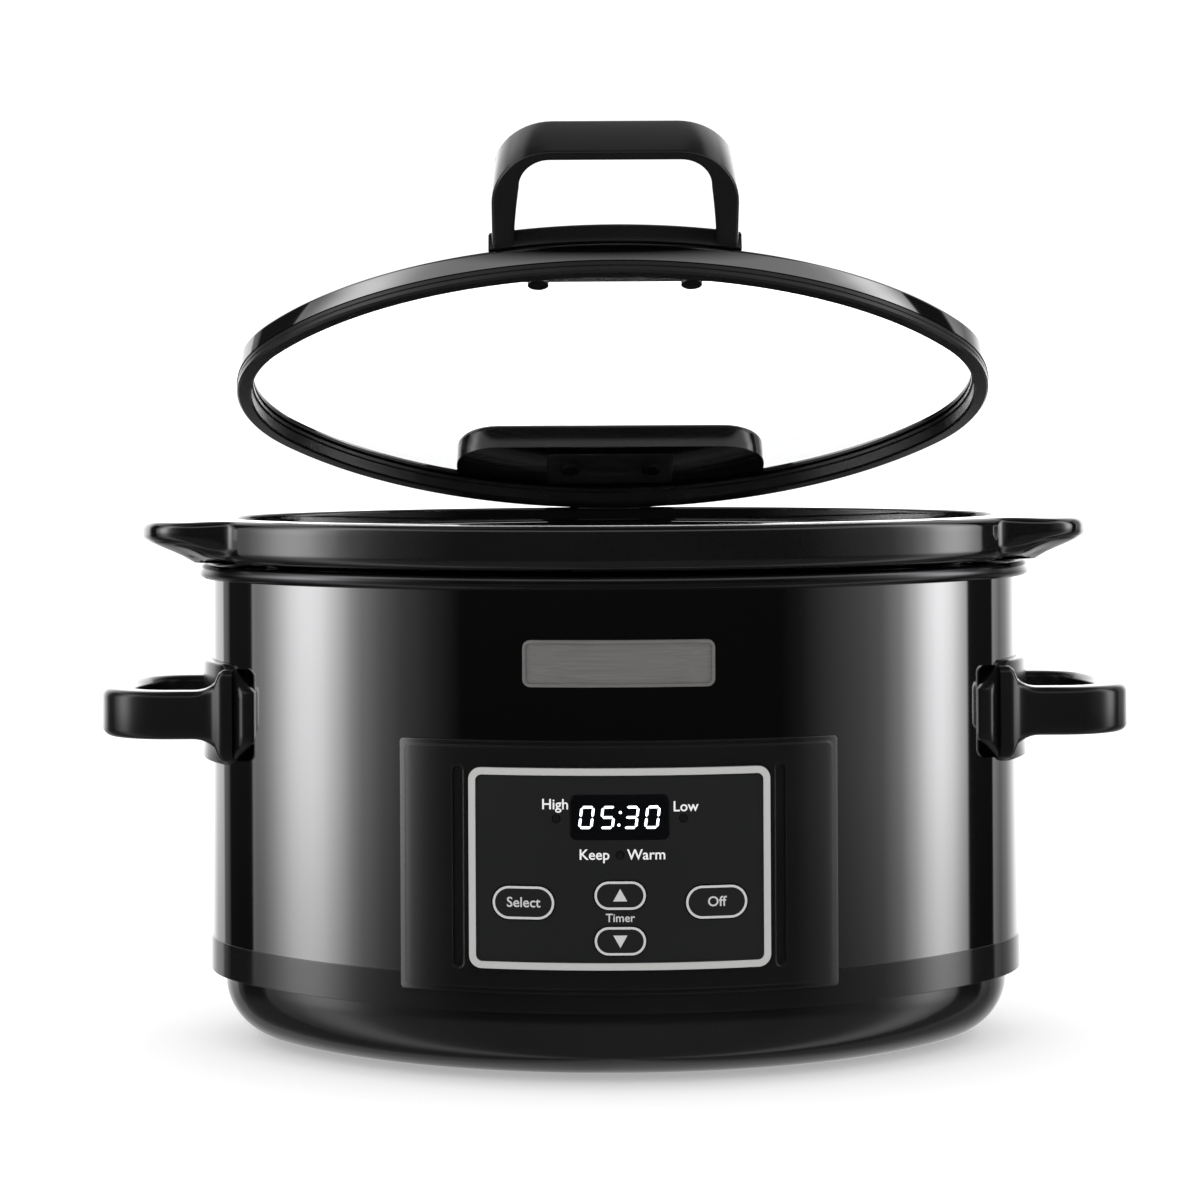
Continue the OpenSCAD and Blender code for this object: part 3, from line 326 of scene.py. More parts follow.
dark_steel = Finish("dark_steel")
lines = dark_steel.grain(40, 3, (1, 1, 30))
smears = dark_steel.grain(9, 3)
dark_steel_skin = dark_steel.shade(
    Base_Color=dark_steel.mix(smears, (0.34, 0.34, 0.345, 1), (0.38, 0.38, 0.385, 1)),
    Metallic=1.0, Roughness=0.03 + 0.03 * smears + 0.01 * lines,
    height=lines, depth=0.0000006)
seam_z, wrap_top = wrap_low.z, wrap_high.z
sheet = 0.8 * MM
place("wrap_sheet", carried("wrap_sheet", [
    (-sheet, seam_z), (0, seam_z), (0, wrap_top), (-sheet, wrap_top)], dark_steel_skin, points=432),
    "housing", "outer_wrap")

# ---- Base, feet and cord bush ------------------------------------------------
# One gloss black moulding: the band, the round bowl under it and the floor inside.
# Four rubber feet press into its floor, and a bush for the cord sits in the rear of the band.
deep_black, pale_black = (0.004, 0.004, 0.0045, 1), (0.009, 0.009, 0.0095, 1)
gloss_black = Finish("gloss_black")
peel = gloss_black.grain(900, 2)
haze = gloss_black.grain(14, 4)
gloss_black_skin = gloss_black.shade(
    Base_Color=gloss_black.mix(haze, deep_black, pale_black), Roughness=0.06 + 0.05 * haze,
    Specular_IOR_Level=0.9, IOR=1.7, height=peel, depth=0.000003, edge=0.0005)
as_made(gloss_black_skin, "base_moulding", sharp=25)

rubber = Finish("rubber")
pores = rubber.grain(2200, 3)
rubber_skin = rubber.shade(
    Base_Color=rubber.mix(pores, (0.012, 0.012, 0.012, 1), (0.028, 0.028, 0.028, 1)),
    Roughness=0.72 + 0.15 * pores, height=pores, depth=0.00003)
as_made(rubber_skin, "rubber_feet")

satin_black = Finish("satin_black")
tooth = satin_black.grain(1600, 3)
wear = satin_black.grain(22, 4)
satin_black_skin = satin_black.shade(
    Base_Color=satin_black.mix(wear, deep_black, pale_black),
    Roughness=0.13 + 0.07 * wear + 0.03 * tooth,
    Specular_IOR_Level=0.7, height=tooth, depth=0.000003, edge=0.0006)
as_made(satin_black_skin, "cord_bush")

# ---- Heating well and what holds it --------------------------------------------
# Pressed steel, hung from a rolled bead that laps the top of the wrap. Spacers and nuts
# hold it down on the base's four bosses.
well_metal = Finish("well_metal")
draw = well_metal.grain(60, 4, (1, 1, 6))
well_skin = well_metal.shade(
    Base_Color=well_metal.mix(draw, (0.10, 0.10, 0.105, 1), (0.16, 0.16, 0.165, 1)),
    Metallic=1.0, Roughness=0.14 + 0.12 * draw, height=draw, depth=0.00001)
as_made(well_skin, "heating_well")
bead_r, bead_out, bead_z, bead_sides = 3.02 * MM, 2.0 * MM, wrap_top + 3 * MM, 28
place("well_bead", carried("well_bead", [
    (bead_out + bead_r * math.cos(a), bead_z + bead_r * math.sin(a))
    for a in (2 * math.pi * k / bead_sides for k in range(bead_sides))],
    well_skin, sharp=60), "housing")

zinc = Finish("zinc_plate")
bloom = zinc.grain(180, 4)
zinc_skin = zinc.shade(
    Base_Color=zinc.mix(bloom, (0.46, 0.46, 0.47, 1), (0.68, 0.68, 0.70, 1)), Metallic=1.0,
    Roughness=0.28 + 0.16 * bloom, height=bloom, depth=0.00001)
as_made(zinc_skin, "well_nuts", "sensor_clip", "heater_clamp", "handle_plates", "handle_screws",
        "socket_plate", "socket_screws", "power_board_screws", "control_board_screws")

porcelain = Finish("porcelain")
speck = porcelain.grain(500, 3)
porcelain_skin = porcelain.shade(
    Base_Color=porcelain.mix(speck, (0.72, 0.69, 0.62, 1), (0.82, 0.80, 0.75, 1)),
    Roughness=0.5 + 0.2 * speck, height=speck, depth=0.00002)
as_made(porcelain_skin, "well_spacers", "temperature_sensor", "thermal_fuse")

# ---- Heater and heat shield ------------------------------------------------------
# A flat resistance band in mica is clamped round the well, and a thin bright sheet
# stands between it and the control board.
mica = Finish("mica")
flake = mica.grain(260, 5)
mica_skin = mica.shade(
    Base_Color=mica.mix(flake, (0.50, 0.45, 0.33, 1), (0.72, 0.68, 0.56, 1)), Metallic=0.4,
    Roughness=0.35 + 0.25 * flake, height=flake, depth=0.00004)
as_made(mica_skin, "heater_band")
foil = Finish("bright_sheet")
roll = foil.grain(30, 4, (1, 1, 20))
foil_skin = foil.shade(
    Base_Color=foil.mix(roll, (0.70, 0.70, 0.71, 1), (0.86, 0.86, 0.87, 1)), Metallic=1.0,
    Roughness=0.2 + 0.15 * roll, height=roll, depth=0.00001)
as_made(foil_skin, "heat_shield")

# ---- Boards --------------------------------------------------------------------
# The power board lies on posts in the base; the control board stands behind the panel
# with its switches. Both are glass-fibre board under green solder mask.
mask = Finish("solder_mask")
tracks = mask.node("ShaderNodeTexVoronoi", {"distance": "MANHATTAN"},
                   {"Vector": mask.node("ShaderNodeTexCoord", out=3), "Scale": 260.0})
mask_skin = mask.shade(Base_Color=mask.mix(tracks > 0.42, (0.02, 0.13, 0.04, 1), (0.05, 0.24, 0.08, 1)),
                       Roughness=0.32 + 0.1 * tracks, height=tracks, depth=0.00003)
as_made(mask_skin, "power_board", "control_board")
for label, dark, light, rough, names in (
        ("relay_case", (0.03, 0.08, 0.30, 1), (0.05, 0.13, 0.42, 1), 0.3, ["power_relay"]),
        ("winding_tape", (0.52, 0.38, 0.07, 1), (0.72, 0.55, 0.14, 1), 0.42, ["power_transformer"]),
        ("terminal_case", (0.03, 0.26, 0.08, 1), (0.06, 0.36, 0.12, 1), 0.4, ["terminal_block"]),
        ("switch_case", (0.02, 0.02, 0.022, 1), (0.045, 0.045, 0.048, 1), 0.45, ["tact_switches"])):
    case = Finish(label)
    mottle = case.grain(420, 3)
    as_made(case.shade(Base_Color=case.mix(mottle, dark, light), Roughness=rough + 0.12 * mottle,
                       height=mottle, depth=0.00002), *names)

# ---- Control panel --------------------------------------------------------------
# A gloss black moulding bowed with the body, with two upright grooves, a satin silver
# frame round a charcoal overlay, a tinted window over the clock and four rubber keys.
bezel_black = Finish("bezel_black")
flow = bezel_black.grain(900, 2)
veil = bezel_black.grain(16, 4)
spot = bezel_black.node("ShaderNodeTexCoord", out=3)
spot = bezel_black.node("ShaderNodeSeparateXYZ", None, {0: spot})
flank_from, flank_w, flank_fall = 67 * MM, 18 * MM, 2.1 * MM  # where the flanks curve back, and how much
flank = bezel_black.node("ShaderNodeMath", {"operation": "MAXIMUM"},
                         {0: (abs(spot) - flank_from) / flank_w, 1: 0.0})
bezel_skin = bezel_black.shade(
    Base_Color=bezel_black.mix(veil, deep_black, pale_black), Roughness=0.07 + 0.05 * veil,
    Specular_IOR_Level=0.9, IOR=1.7, height=0.002 * flow - flank * flank, depth=flank_fall,
    edge=0.0007)
as_made(bezel_skin, "panel_bezel", sharp=25)

silver = Finish("satin_silver")
satin = silver.grain(700, 3, (1, 1, 8))
silver_skin = silver.shade(
    Base_Color=silver.mix(satin, (0.50, 0.50, 0.49, 1), (0.60, 0.60, 0.585, 1)), Metallic=0.25,
    Roughness=0.34 + 0.12 * satin, height=satin, depth=0.000006, edge=0.0004)
as_made(silver_skin, "panel_frame", sharp=25)

charcoal = Finish("charcoal_film")
frost = charcoal.grain(3200, 2)
cloud = charcoal.grain(12, 3)
charcoal_skin = charcoal.shade(
    Base_Color=charcoal.mix(cloud, (0.0085, 0.0088, 0.0095, 1), (0.0125, 0.013, 0.0138, 1)),
    Roughness=0.36 + 0.12 * frost, height=frost, depth=0.000004)
as_made(charcoal_skin, "panel_overlay", "key_select", "key_off", "key_up", "key_down",
        sharp=25)

tint = Finish("window_tint")
film = tint.grain(20, 2)
tint_skin = tint.shade(Base_Color=tint.mix(film, (0.002, 0.002, 0.0025, 1), (0.004, 0.004, 0.005, 1)),
                       Roughness=0.06 + 0.05 * film, height=film, depth=0.00001, edge=0.0004)
as_made(tint_skin, "display_window", "display_module", sharp=25)

lens = Finish("dim_lens")
bubble = lens.grain(900, 2)
lens_skin = lens.shade(Base_Color=lens.mix(bubble, (0.004, 0.004, 0.004, 1), (0.012, 0.011, 0.011, 1)),
                       Roughness=0.12 + 0.1 * bubble, height=bubble, depth=0.00001)
as_made(lens_skin, "status_lights")

# ---- Printing on the panel and the lit clock -------------------------------------
# Pale grey ink for the words and the key outlines, and a four-digit clock of lit bars
# behind the window. Each follows the panel's bow.
frame_low, frame_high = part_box("panel_frame")
panel_z = (frame_low.z + frame_high.z) / 2
key_out = (-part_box("key_up")[0].y + mid_y) - half_d
face_out = key_out - 0.4 * MM
ink = Finish("pale_ink")
fade = ink.grain(1400, 3)
ink_skin = ink.shade(Base_Color=ink.mix(fade, (0.42, 0.42, 0.42, 1), (0.56, 0.56, 0.555, 1)),
                     Roughness=0.45 + 0.2 * fade, height=fade, depth=0.000005)
white_ink = Finish("white_ink")
wash = white_ink.grain(1400, 3)
white_skin = white_ink.shade(Base_Color=white_ink.mix(wash, (0.70, 0.70, 0.70, 1), (0.86, 0.86, 0.855, 1)),
                             Roughness=0.45 + 0.2 * wash, height=wash, depth=0.000005)
glow = Finish("clock_light")
fall = glow.grain(600, 2)
glow_skin = glow.shade(Base_Color=(0.8, 0.85, 0.9, 1), Roughness=0.4,
                       Emission_Color=glow.mix(fall, (0.74, 0.84, 1.0, 1), (0.92, 0.96, 1.0, 1)),
                       Emission_Strength=2.4)


def bowed(mesh, out):
    """Bends a flat mesh, drawn at x, z with y as its thickness, onto the panel's front."""
    for vertex in mesh.vertices:
        vertex.co.y += front_y(vertex.co.x, out)
    return mesh


def slabs(name, shapes, thick=0.06 * MM):
    """Flat outlines in x and z made into thin closed plates."""
    shape = bmesh.new()
    for outline in shapes:
        near = [shape.verts.new((x, -thick, z)) for x, z in outline]
        far = [shape.verts.new((x, 0, z)) for x, z in outline]
        shape.faces.new(near)
        shape.faces.new(far[::-1])
        for k in range(len(outline)):
            shape.faces.new((near[k - 1], near[k], far[k], far[k - 1]))
    mesh = bpy.data.meshes.new(name)
    bmesh.ops.recalc_face_normals(shape, faces=shape.faces)
    shape.to_mesh(mesh)
    shape.free()
    return mesh


def words(text, x, z, size, weight=0.012):
    """The mesh of a printed word, centred at x and z from the middle of the frame."""
    curve = bpy.data.curves.new(text, "FONT")
    curve.body, curve.size, curve.align_x, curve.align_y = text, size, "CENTER", "CENTER"
    curve.extrude, curve.offset, curve.resolution_u = 0.03 * MM, weight * size, 3
    holder = bpy.data.objects.new(text, curve)
    bpy.context.scene.collection.objects.link(holder)
    view = bpy.context.evaluated_depsgraph_get()
    mesh = bpy.data.meshes.new_from_object(holder.evaluated_get(view))
    bpy.data.objects.remove(holder)
    upright = Matrix.Rotation(math.pi / 2, 4, "X")
    mesh.transform(Matrix.Translation((x, 0, panel_z + z)) @ upright)
    return mesh


def printed(name, mesh, out, material, body):
    finish_mesh(bowed(mesh, out), material)
    place(name, mesh, body)


def stadium(x, z, w, h, line, steps=20, flat_steps=12):
    """A ring of quads: the outline of a key, of that line width, round at both ends."""
    flat = w / 2 - h / 2

    def edge(half_h):
        points = []
        for s in (1, -1):
            for k in range(steps + 1):
                a = math.radians(180 * k / steps - 90 * s)
                points.append((x + s * flat + half_h * math.cos(a), panel_z + z + half_h * math.sin(a)))
            points += [(x + s * (flat - 2 * flat * k / flat_steps), panel_z + z + s * half_h)
                       for k in range(1, flat_steps)]
        return points

    outer, inner = edge(h / 2), edge(h / 2 - line)
    return [[outer[k - 1], outer[k], inner[k], inner[k - 1]] for k in range(len(outer))]


for text, x, z, size, skin in (
        ("High", -24.7, 24.6, 5.6, white_skin), ("Low", 25.2, 23.6, 5.6, white_skin),
        ("Keep", -9.8, 5.4, 5.6, white_skin), ("Warm", 10.2, 5.4, 5.6, white_skin),
        ("Timer", 0.0, -18.7, 4.5, ink_skin)):
    printed("print_" + text.lower(), words(text, x * MM, z * MM, size * MM), face_out, skin, "housing")

line_w, side_key_z = 0.9 * MM, -13 * MM
for text, x, body in (("Select", -37 * MM, "select_key"), ("Off", 37 * MM, "off_key")):
    name = "outline_" + text.lower()
    printed("print_" + text.lower(), words(text, x, side_key_z, 5.4 * MM), key_out, ink_skin, body)
    printed(name, slabs(name, stadium(x, side_key_z, 23.6 * MM, 12.6 * MM, line_w)),
            key_out, ink_skin, body)
for body, z, up in (("up_key", -10 * MM, 1), ("down_key", -27.4 * MM, -1)):
    printed("outline_" + body, slabs("outline_" + body, stadium(0, z, 19.6 * MM, 10.8 * MM, line_w)),
            key_out, ink_skin, body)
    tip = [(-2.7 * MM, -2.2 * MM * up), (2.7 * MM, -2.2 * MM * up), (0, 2.6 * MM * up)]
    printed("arrow_" + body, slabs("arrow_" + body, [[(x, panel_z + z + dz) for x, dz in tip]]),
            key_out, ink_skin, body)

bars = {"0": "abcdef", "5": "afgcd", "3": "abgcd"}
digit_w, digit_h, bar, slant = 4.5 * MM, 7.8 * MM, 0.95 * MM, 0.12
window_z = panel_z + 19.8 * MM


def lit_bar(x0, z0, x1, z1):
    """One bar with pointed ends, from one end to the other, leaning with the digits."""
    long = Vector((x1 - x0, z1 - z0)).normalized()
    wide = Vector((-long.y, long.x)) * bar / 2
    a, b = Vector((x0, z0)) + long * bar * 0.25, Vector((x1, z1)) - long * bar * 0.25
    ring = [a, a + long * bar / 2 + wide, b - long * bar / 2 + wide, b, b - long * bar / 2 - wide,
            a + long * bar / 2 - wide]
    return [(p.x + slant * p.y, window_z + p.y) for p in ring]


lit = []
for symbol, x in (("0", -12.7), ("5", -4.6), ("3", 4.4), ("0", 12.5)):
    left, right, top = x * MM - digit_w / 2, x * MM + digit_w / 2, digit_h / 2
    place_of = {"a": (left, top, right, top), "b": (right, top, right, 0), "c": (right, 0, right, -top),
                "d": (left, -top, right, -top), "e": (left, 0, left, -top), "f": (left, top, left, 0),
                "g": (left, 0, right, 0)}
    lit += [lit_bar(*place_of[letter]) for letter in bars[symbol]]
dot_r = 0.55 * MM
for z in (1.9 * MM, -2.9 * MM):
    lit.append([(slant * z + dot_r * math.cos(a), window_z + z + dot_r * math.sin(a))
                for a in (2 * math.pi * k / 12 for k in range(12))])
printed("clock_digits", slabs("clock_digits", lit), face_out, glow_skin, "housing")

# ---- Badge -------------------------------------------------------------------
# A small nickel plate with a raised rim, brushed along its length and left blank,
# held to the wrap by tape.
nickel = Finish("brushed_nickel")
brush = nickel.grain(900, 4, (0.04, 1, 1.6))
nickel_skin = nickel.shade(
    Base_Color=nickel.mix(brush, (0.135, 0.13, 0.125, 1), (0.235, 0.23, 0.22, 1)), Metallic=0.35,
    Roughness=0.34 + 0.16 * brush, height=brush, depth=0.00002, edge=0.0006)
as_made(nickel_skin, "badge_plate", sharp=25)

# ---- Side handles --------------------------------------------------------------
# Each is one satin black moulding: a bowed loop that flares into a pad with cut corners,
# screwed on from inside the wrap.


def body_x(y, out):
    """How far the oval, grown by out, reaches at y from its middle."""
    if abs(y) < meet_sin * (end_r + out):
        return end_x + math.sqrt((end_r + out) ** 2 - y * y)
    return math.sqrt((side_r + out) ** 2 - (abs(y) + side_y) ** 2)


def tube(name, stations, material, sharp=35):
    """Rings of points joined in order, with flat ends."""
    shape = bmesh.new()
    rings = [[shape.verts.new(p) for p in ring] for ring in stations]
    for a, b in zip(rings, rings[1:]):
        for k in range(len(a)):
            shape.faces.new((a[k - 1], a[k], b[k], b[k - 1]))
    shape.faces.new(rings[0])
    shape.faces.new(rings[-1][::-1])
    mesh = bpy.data.meshes.new(name)
    shape.to_mesh(mesh)
    shape.free()
    return finish_mesh(mesh, material, sharp)


def round_box(w, h, r, steps=5):
    """A rounded rectangle about the middle, as points."""
    points = []
    for cx, cz, start in ((1, 1, 0), (-1, 1, 90), (-1, -1, 180), (1, -1, 270)):
        for k in range(steps + 1):
            a = math.radians(start + 90 * k / steps)
            points.append((cx * (w / 2 - r) + r * math.cos(a), cz * (h / 2 - r) + r * math.sin(a)))
    return points


handle_low, handle_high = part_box("right_handle")
pad_half, pad_z = (handle_high.y - handle_low.y) / 2, (handle_high.z + handle_low.z) / 2
pad_h, pad_t, grip, grip_h = handle_high.z - handle_low.z, 3.5 * MM, 14 * MM, 19.5 * MM
flare_run, flare_most, grip_edge = 11 * MM, 9 * MM, 3.2 * MM
reach_x = handle_high.x
loop_half, loop_corner, loop_bow = 52 * MM - grip / 2, 23 * MM, 113 * MM


def handle_path():
    """The middle of the grip in plan and its direction, from the pad at +y to the pad at -y."""
    bow_x = reach_x - grip / 2 - loop_bow
    turn_y = loop_half - loop_corner
    turn_x = bow_x + math.sqrt((loop_bow - loop_corner) ** 2 - turn_y ** 2)
    lean = math.atan2(turn_y, turn_x - bow_x)
    start = body_x(loop_half, 0) - 1.5 * MM
    path = [(start + (turn_x - start) * k / 14, loop_half, 0.0) for k in range(14)]
    right = math.pi / 2
    for k in range(13):
        a = right + (lean - right) * k / 12
        path.append((turn_x + loop_corner * math.cos(a), turn_y + loop_corner * math.sin(a), a - right))
    for k in range(1, 12):
        a = lean * (1 - k / 12)
        path.append((bow_x + loop_bow * math.cos(a), loop_bow * math.sin(a), a - right))
    return path + [(x, -y, -turn - math.pi) for x, y, turn in path[::-1]]


def loop_stations(side):
    """Sections of the grip along its path, flaring where they come to the pad."""
    rings = []
    for x, y, way in handle_path():
        away = x - body_x(min(abs(y), loop_half), pad_t)
        flare = 0.0
        if away < flare_run and abs(y) > loop_half - 2 * MM:
            s = min(max(1 - away / flare_run, 0), 1)
            flare = flare_most * (1 - math.sqrt(max(1 - s * s, 0)))
        nx, ny = -math.sin(way), math.cos(way)
        rings.append([(side * (x + nx * u), mid_y + y + ny * u, pad_z + v)
                      for u, v in round_box(grip + 1.2 * flare, grip_h + 2 * flare, grip_edge)])
    return rings


def pad_mesh(side, name):
    """The plate on the wrap: columns of points between its upper and lower edges, cut at the corners."""
    cut_h, cut_w, columns, rows = 10 * MM, 14 * MM, 48, 8
    shape = bmesh.new()
    sheets = []
    for out, tight in ((0.05 * MM, 0.0), (pad_t - 1.0 * MM, 0.0),
                       (pad_t - 0.3 * MM, 0.35 * MM), (pad_t, 1.1 * MM)):
        grid = []
        for c in range(columns + 1):
            y = (pad_half - tight) * (2 * c / columns - 1)
            rim = max(abs(y) - (pad_half - cut_w), 0) / cut_w
            half = pad_h / 2 - tight - rim * (pad_h / 2 - cut_h)
            grid.append([(side * body_x(y, out), mid_y + y, pad_z + half * (2 * r / rows - 1))
                         for r in range(rows + 1)])
        sheets.append([[shape.verts.new(p) for p in column] for column in grid])
    for sheet in (sheets[0], sheets[-1]):
        for a, b in zip(sheet, sheet[1:]):
            for k in range(rows):
                shape.faces.new((a[k], a[k + 1], b[k + 1], b[k]))
    for a, b in zip(sheets, sheets[1:]):
        border = [[s[c][0] for c in range(columns + 1)]
                  + [s[columns][r] for r in range(1, rows + 1)]
                  + [s[c][rows] for c in range(columns - 1, -1, -1)]
                  + [s[0][r] for r in range(rows - 1, 0, -1)] for s in (a, b)]
        for k in range(len(border[0])):
            shape.faces.new((border[0][k - 1], border[0][k], border[1][k], border[1][k - 1]))
    mesh = bpy.data.meshes.new(name)
    shape.to_mesh(mesh)
    shape.free()
    return finish_mesh(mesh, satin_black_skin, 50)


for side, name in ((1, "right_handle"), (-1, "left_handle")):
    grip_mesh = tube(name + "_loop", loop_stations(side), satin_black_skin, 50)
    place(name + "_loop", grip_mesh, "housing", name)
    place(name + "_pad", pad_mesh(side, name + "_pad"), "housing")

# ---- Crock ---------------------------------------------------------------------
# Thick stoneware under a gloss black glaze, so every edge is soft. Two lugs grow out of
# the rim, and a ledge inside the rim takes the lid. It stands loose in the well.
crock_low, crock_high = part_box("crock")
rim_z, foot_z = crock_high.z, crock_low.z
lug_tip = crock_high.x
lug_half, lug_corner, lug_bow, lug_web = 59 * MM, 24 * MM, 130 * MM, 20 * MM
rim_out = crock_high.y - mid_y - half_d


def arc(cx, cy, r, start, end, steps):
    """Points on an arc in plan, angles in radians."""
    return [(cx + r * math.cos(a), cy + r * math.sin(a))
            for a in (start + (end - start) * k / steps for k in range(steps + 1))]


def lug_outline():
    """The rim and its lugs in plan, all round from the middle of the right lug."""
    rim_r = end_r + rim_out
    web_y = lug_half + lug_web
    web_x = end_x + math.sqrt((rim_r + lug_web) ** 2 - web_y ** 2)
    bow_x, turn_y = lug_tip - lug_bow, lug_half - lug_corner
    turn_x = bow_x + math.sqrt((lug_bow - lug_corner) ** 2 - turn_y ** 2)
    lean = math.atan2(turn_y, turn_x - bow_x)
    touch = math.atan2(web_y, web_x - end_x)
    quarter = arc(bow_x, 0, lug_bow, 0, lean, 14)
    quarter += arc(turn_x, turn_y, lug_corner, lean, math.pi / 2, 16)[1:]
    quarter += arc(web_x, web_y, lug_web, -math.pi / 2, touch - math.pi, 12)
    side_from = math.atan2(3, 4)
    if touch < side_from:
        quarter += arc(end_x, 0, rim_r, touch, side_from, 4)[1:]
    else:
        side_from = math.atan2(web_y + side_y, web_x)
    quarter += arc(0, -side_y, side_r + rim_out, side_from, math.pi / 2, 46)[1:]
    left = [(-x, y) for x, y in quarter[-2::-1]]
    upper = quarter + left
    return upper + [(x, -y) for x, y in upper[-2:0:-1]]


lug_line = lug_outline()
count = len(lug_line)
outward = []
for k in range(count):
    ax, ay = lug_line[k - 1]
    bx, by = lug_line[(k + 1) % count]
    long = math.hypot(bx - ax, by - ay)
    outward.append(((by - ay) / long, -(bx - ax) / long))


def oval_at(x, y, out):
    """The point of the oval grown by out that lies on the ray from the middle through x, y."""
    far = math.hypot(x, y)
    c, s = abs(x) / far, abs(y) / far
    r = end_r + out
    t = end_x * c + math.sqrt(max((end_x * c) ** 2 - end_x ** 2 + r * r, 0))
    if (t * c - end_x) < meet_cos * r:
        r = side_r + out
        t = -side_y * s + math.sqrt((side_y * s) ** 2 - side_y ** 2 + r * r)
    return x / far * t, y / far * t


lugness, slope = [], []
for x, y in lug_line:
    past = math.hypot(x, y) - math.hypot(*oval_at(x, y, rim_out))
    lugness.append(min(max(past / (6 * MM), 0), 1))
    share = min(max(past / (20 * MM), 0), 1)
    slope.append(share * share * (3 - 2 * share))


def crock_ring(out, z, lug=None, lug_z=None):
    """One loop of points: on the oval, or with lug set on the lug line moved in by it."""
    ring = []
    for k, (x, y) in enumerate(lug_line):
        ox, oy = oval_at(x, y, out)
        height = z
        if lug is not None:
            w = lugness[k]
            lx, ly = x - outward[k][0] * lug, y - outward[k][1] * lug
            ox, oy = ox + (lx - ox) * w, oy + (ly - oy) * w
            height = z + (lug_z - z) * slope[k]
        ring.append((ox, mid_y + oy, height))
    return ring


def round_rings(*bend):
    """Loops on the oval round a corner of the section."""
    return [crock_ring(out, z) for out, z in corner(*bend)]


rim_low, lug_low, ledge_z = rim_z - 17.5 * MM, rim_z - 8.5 * MM, rim_z - 6 * MM
wall_out, wall_in, floor_z = -22.5 * MM, -29 * MM, foot_z + 6.5 * MM
foot_r, floor_r, low_r, top_r, ledge_r = 18 * MM, 14 * MM, 4.5 * MM, 3.2 * MM, 3 * MM
crock_rings = [crock_ring(-60 * MM, foot_z)]
crock_rings += round_rings(wall_out - foot_r, foot_z + foot_r, foot_r, -90, 0, 9)
crock_rings += [crock_ring(wall_out, rim_low - 3 * MM), crock_ring(-21.7 * MM, rim_low - 0.8 * MM),
                crock_ring(-19.5 * MM, rim_low), crock_ring(2 * MM, rim_low)]
for out, z in corner(rim_out - low_r, rim_low + low_r, low_r, -90, 0, 8):
    share = (out - (rim_out - low_r)) / low_r
    crock_rings.append(crock_ring(out, z, 17 * MM * max(1 - share, 0) ** 1.5 + 2.2 * MM,
                                  rim_low + (lug_low - rim_low) * share ** 0.7))
crock_rings += [crock_ring(rim_out, rim_low + 5.2 * MM, 0.7 * MM, lug_low + 0.8 * MM),
                crock_ring(rim_out, rim_low + 6.5 * MM, 0.0, lug_low + 2.4 * MM),
                crock_ring(rim_out, rim_z - 5.0 * MM, 0.0, rim_z - 4.2 * MM)]
for out, z in corner(rim_out - top_r, rim_z - top_r, top_r, 0, 90, 6):
    crock_rings.append(crock_ring(out, z, rim_out - out, z - 0.6 * MM))
crock_rings += [crock_ring(-4 * MM, rim_z), crock_ring(-7.2 * MM, rim_z)]
crock_rings += round_rings(-7.4 * MM, rim_z - 1.6 * MM, 1.6 * MM, 90, 180, 4)
crock_rings += [crock_ring(-9 * MM, ledge_z + 1 * MM), crock_ring(-9.4 * MM, ledge_z + 0.2 * MM),
                crock_ring(-10.4 * MM, ledge_z), crock_ring(wall_in + ledge_r, ledge_z)]
crock_rings += round_rings(wall_in + ledge_r, ledge_z - ledge_r, ledge_r, 90, 180, 5)
crock_rings += round_rings(wall_in - floor_r, floor_z + floor_r, floor_r, 0, -90, 8)
crock_rings += [crock_ring(-62 * MM, floor_z)]
glaze = Finish("black_glaze")
pool = glaze.grain(26, 2)
pit = glaze.grain(700, 2)
glaze_skin = glaze.shade(
    Base_Color=glaze.mix(pool, (0.003, 0.003, 0.0032, 1), (0.007, 0.0068, 0.0066, 1)),
    Roughness=0.035 + 0.04 * pit, Specular_IOR_Level=0.9, IOR=1.7, height=pool, depth=0.0002)
place("crock_glazed", tube("crock_glazed", crock_rings, glaze_skin, 70), "crock", "crock")

# ---- Hinge ---------------------------------------------------------------------
# The foot drops into a socket screwed to the back of the wrap and carries a steel pin.
# A steel leaf turns on the pin, screwed through the glass under a black cover.
as_made(satin_black_skin, "hinge_socket", "hinge_foot")
as_made(zinc_skin, "hinge_pin", "hinge_leaf")
as_made(satin_black_skin, "leaf_screws")
hinge = joints["lid_hinge"]
opened = -math.radians(hinge["range_deg"][0])
pin = Vector(hinge["pos_m"])
swing = Matrix.Translation(pin) @ Matrix.Rotation(-opened, 4, "X") @ Matrix.Translation(-pin)
glass_top, ring_top = pin.z, pin.z + 2 * MM
lid_in, ring_w = 10 * MM, 7 * MM
lid_half_d = half_d - lid_in


def plan_block(name, levels, back, half, sweep_corner, material, front=True, sharp=50):
    """A low moulding at the lid's front or rear edge; each level is (height, shrink, how far in
    from the wrap its outer edge lies)."""
    sign = -1 if front else 1
    rings = []
    for z, tight, inset in levels:
        w, r = half - tight, max(sweep_corner - tight, 1 * MM)
        inner = lid_half_d - back + tight
        edge = [(w * (2 * k / 30 - 1)) for k in range(31)]
        rim = [(x, math.sqrt((side_r - inset) ** 2 - x * x) - side_y) for x in edge]
        far = [(w - r + r * math.cos(a), inner + r - r * math.sin(a))
               for a in (math.pi / 2 * k / 8 for k in range(9))]
        rings.append([(x, mid_y + sign * y, z) for x, y in rim + far + [(-x, y) for x, y in far[::-1]]])
    mesh = tube(name, rings, material, sharp)
    mesh.transform(swing)
    return mesh


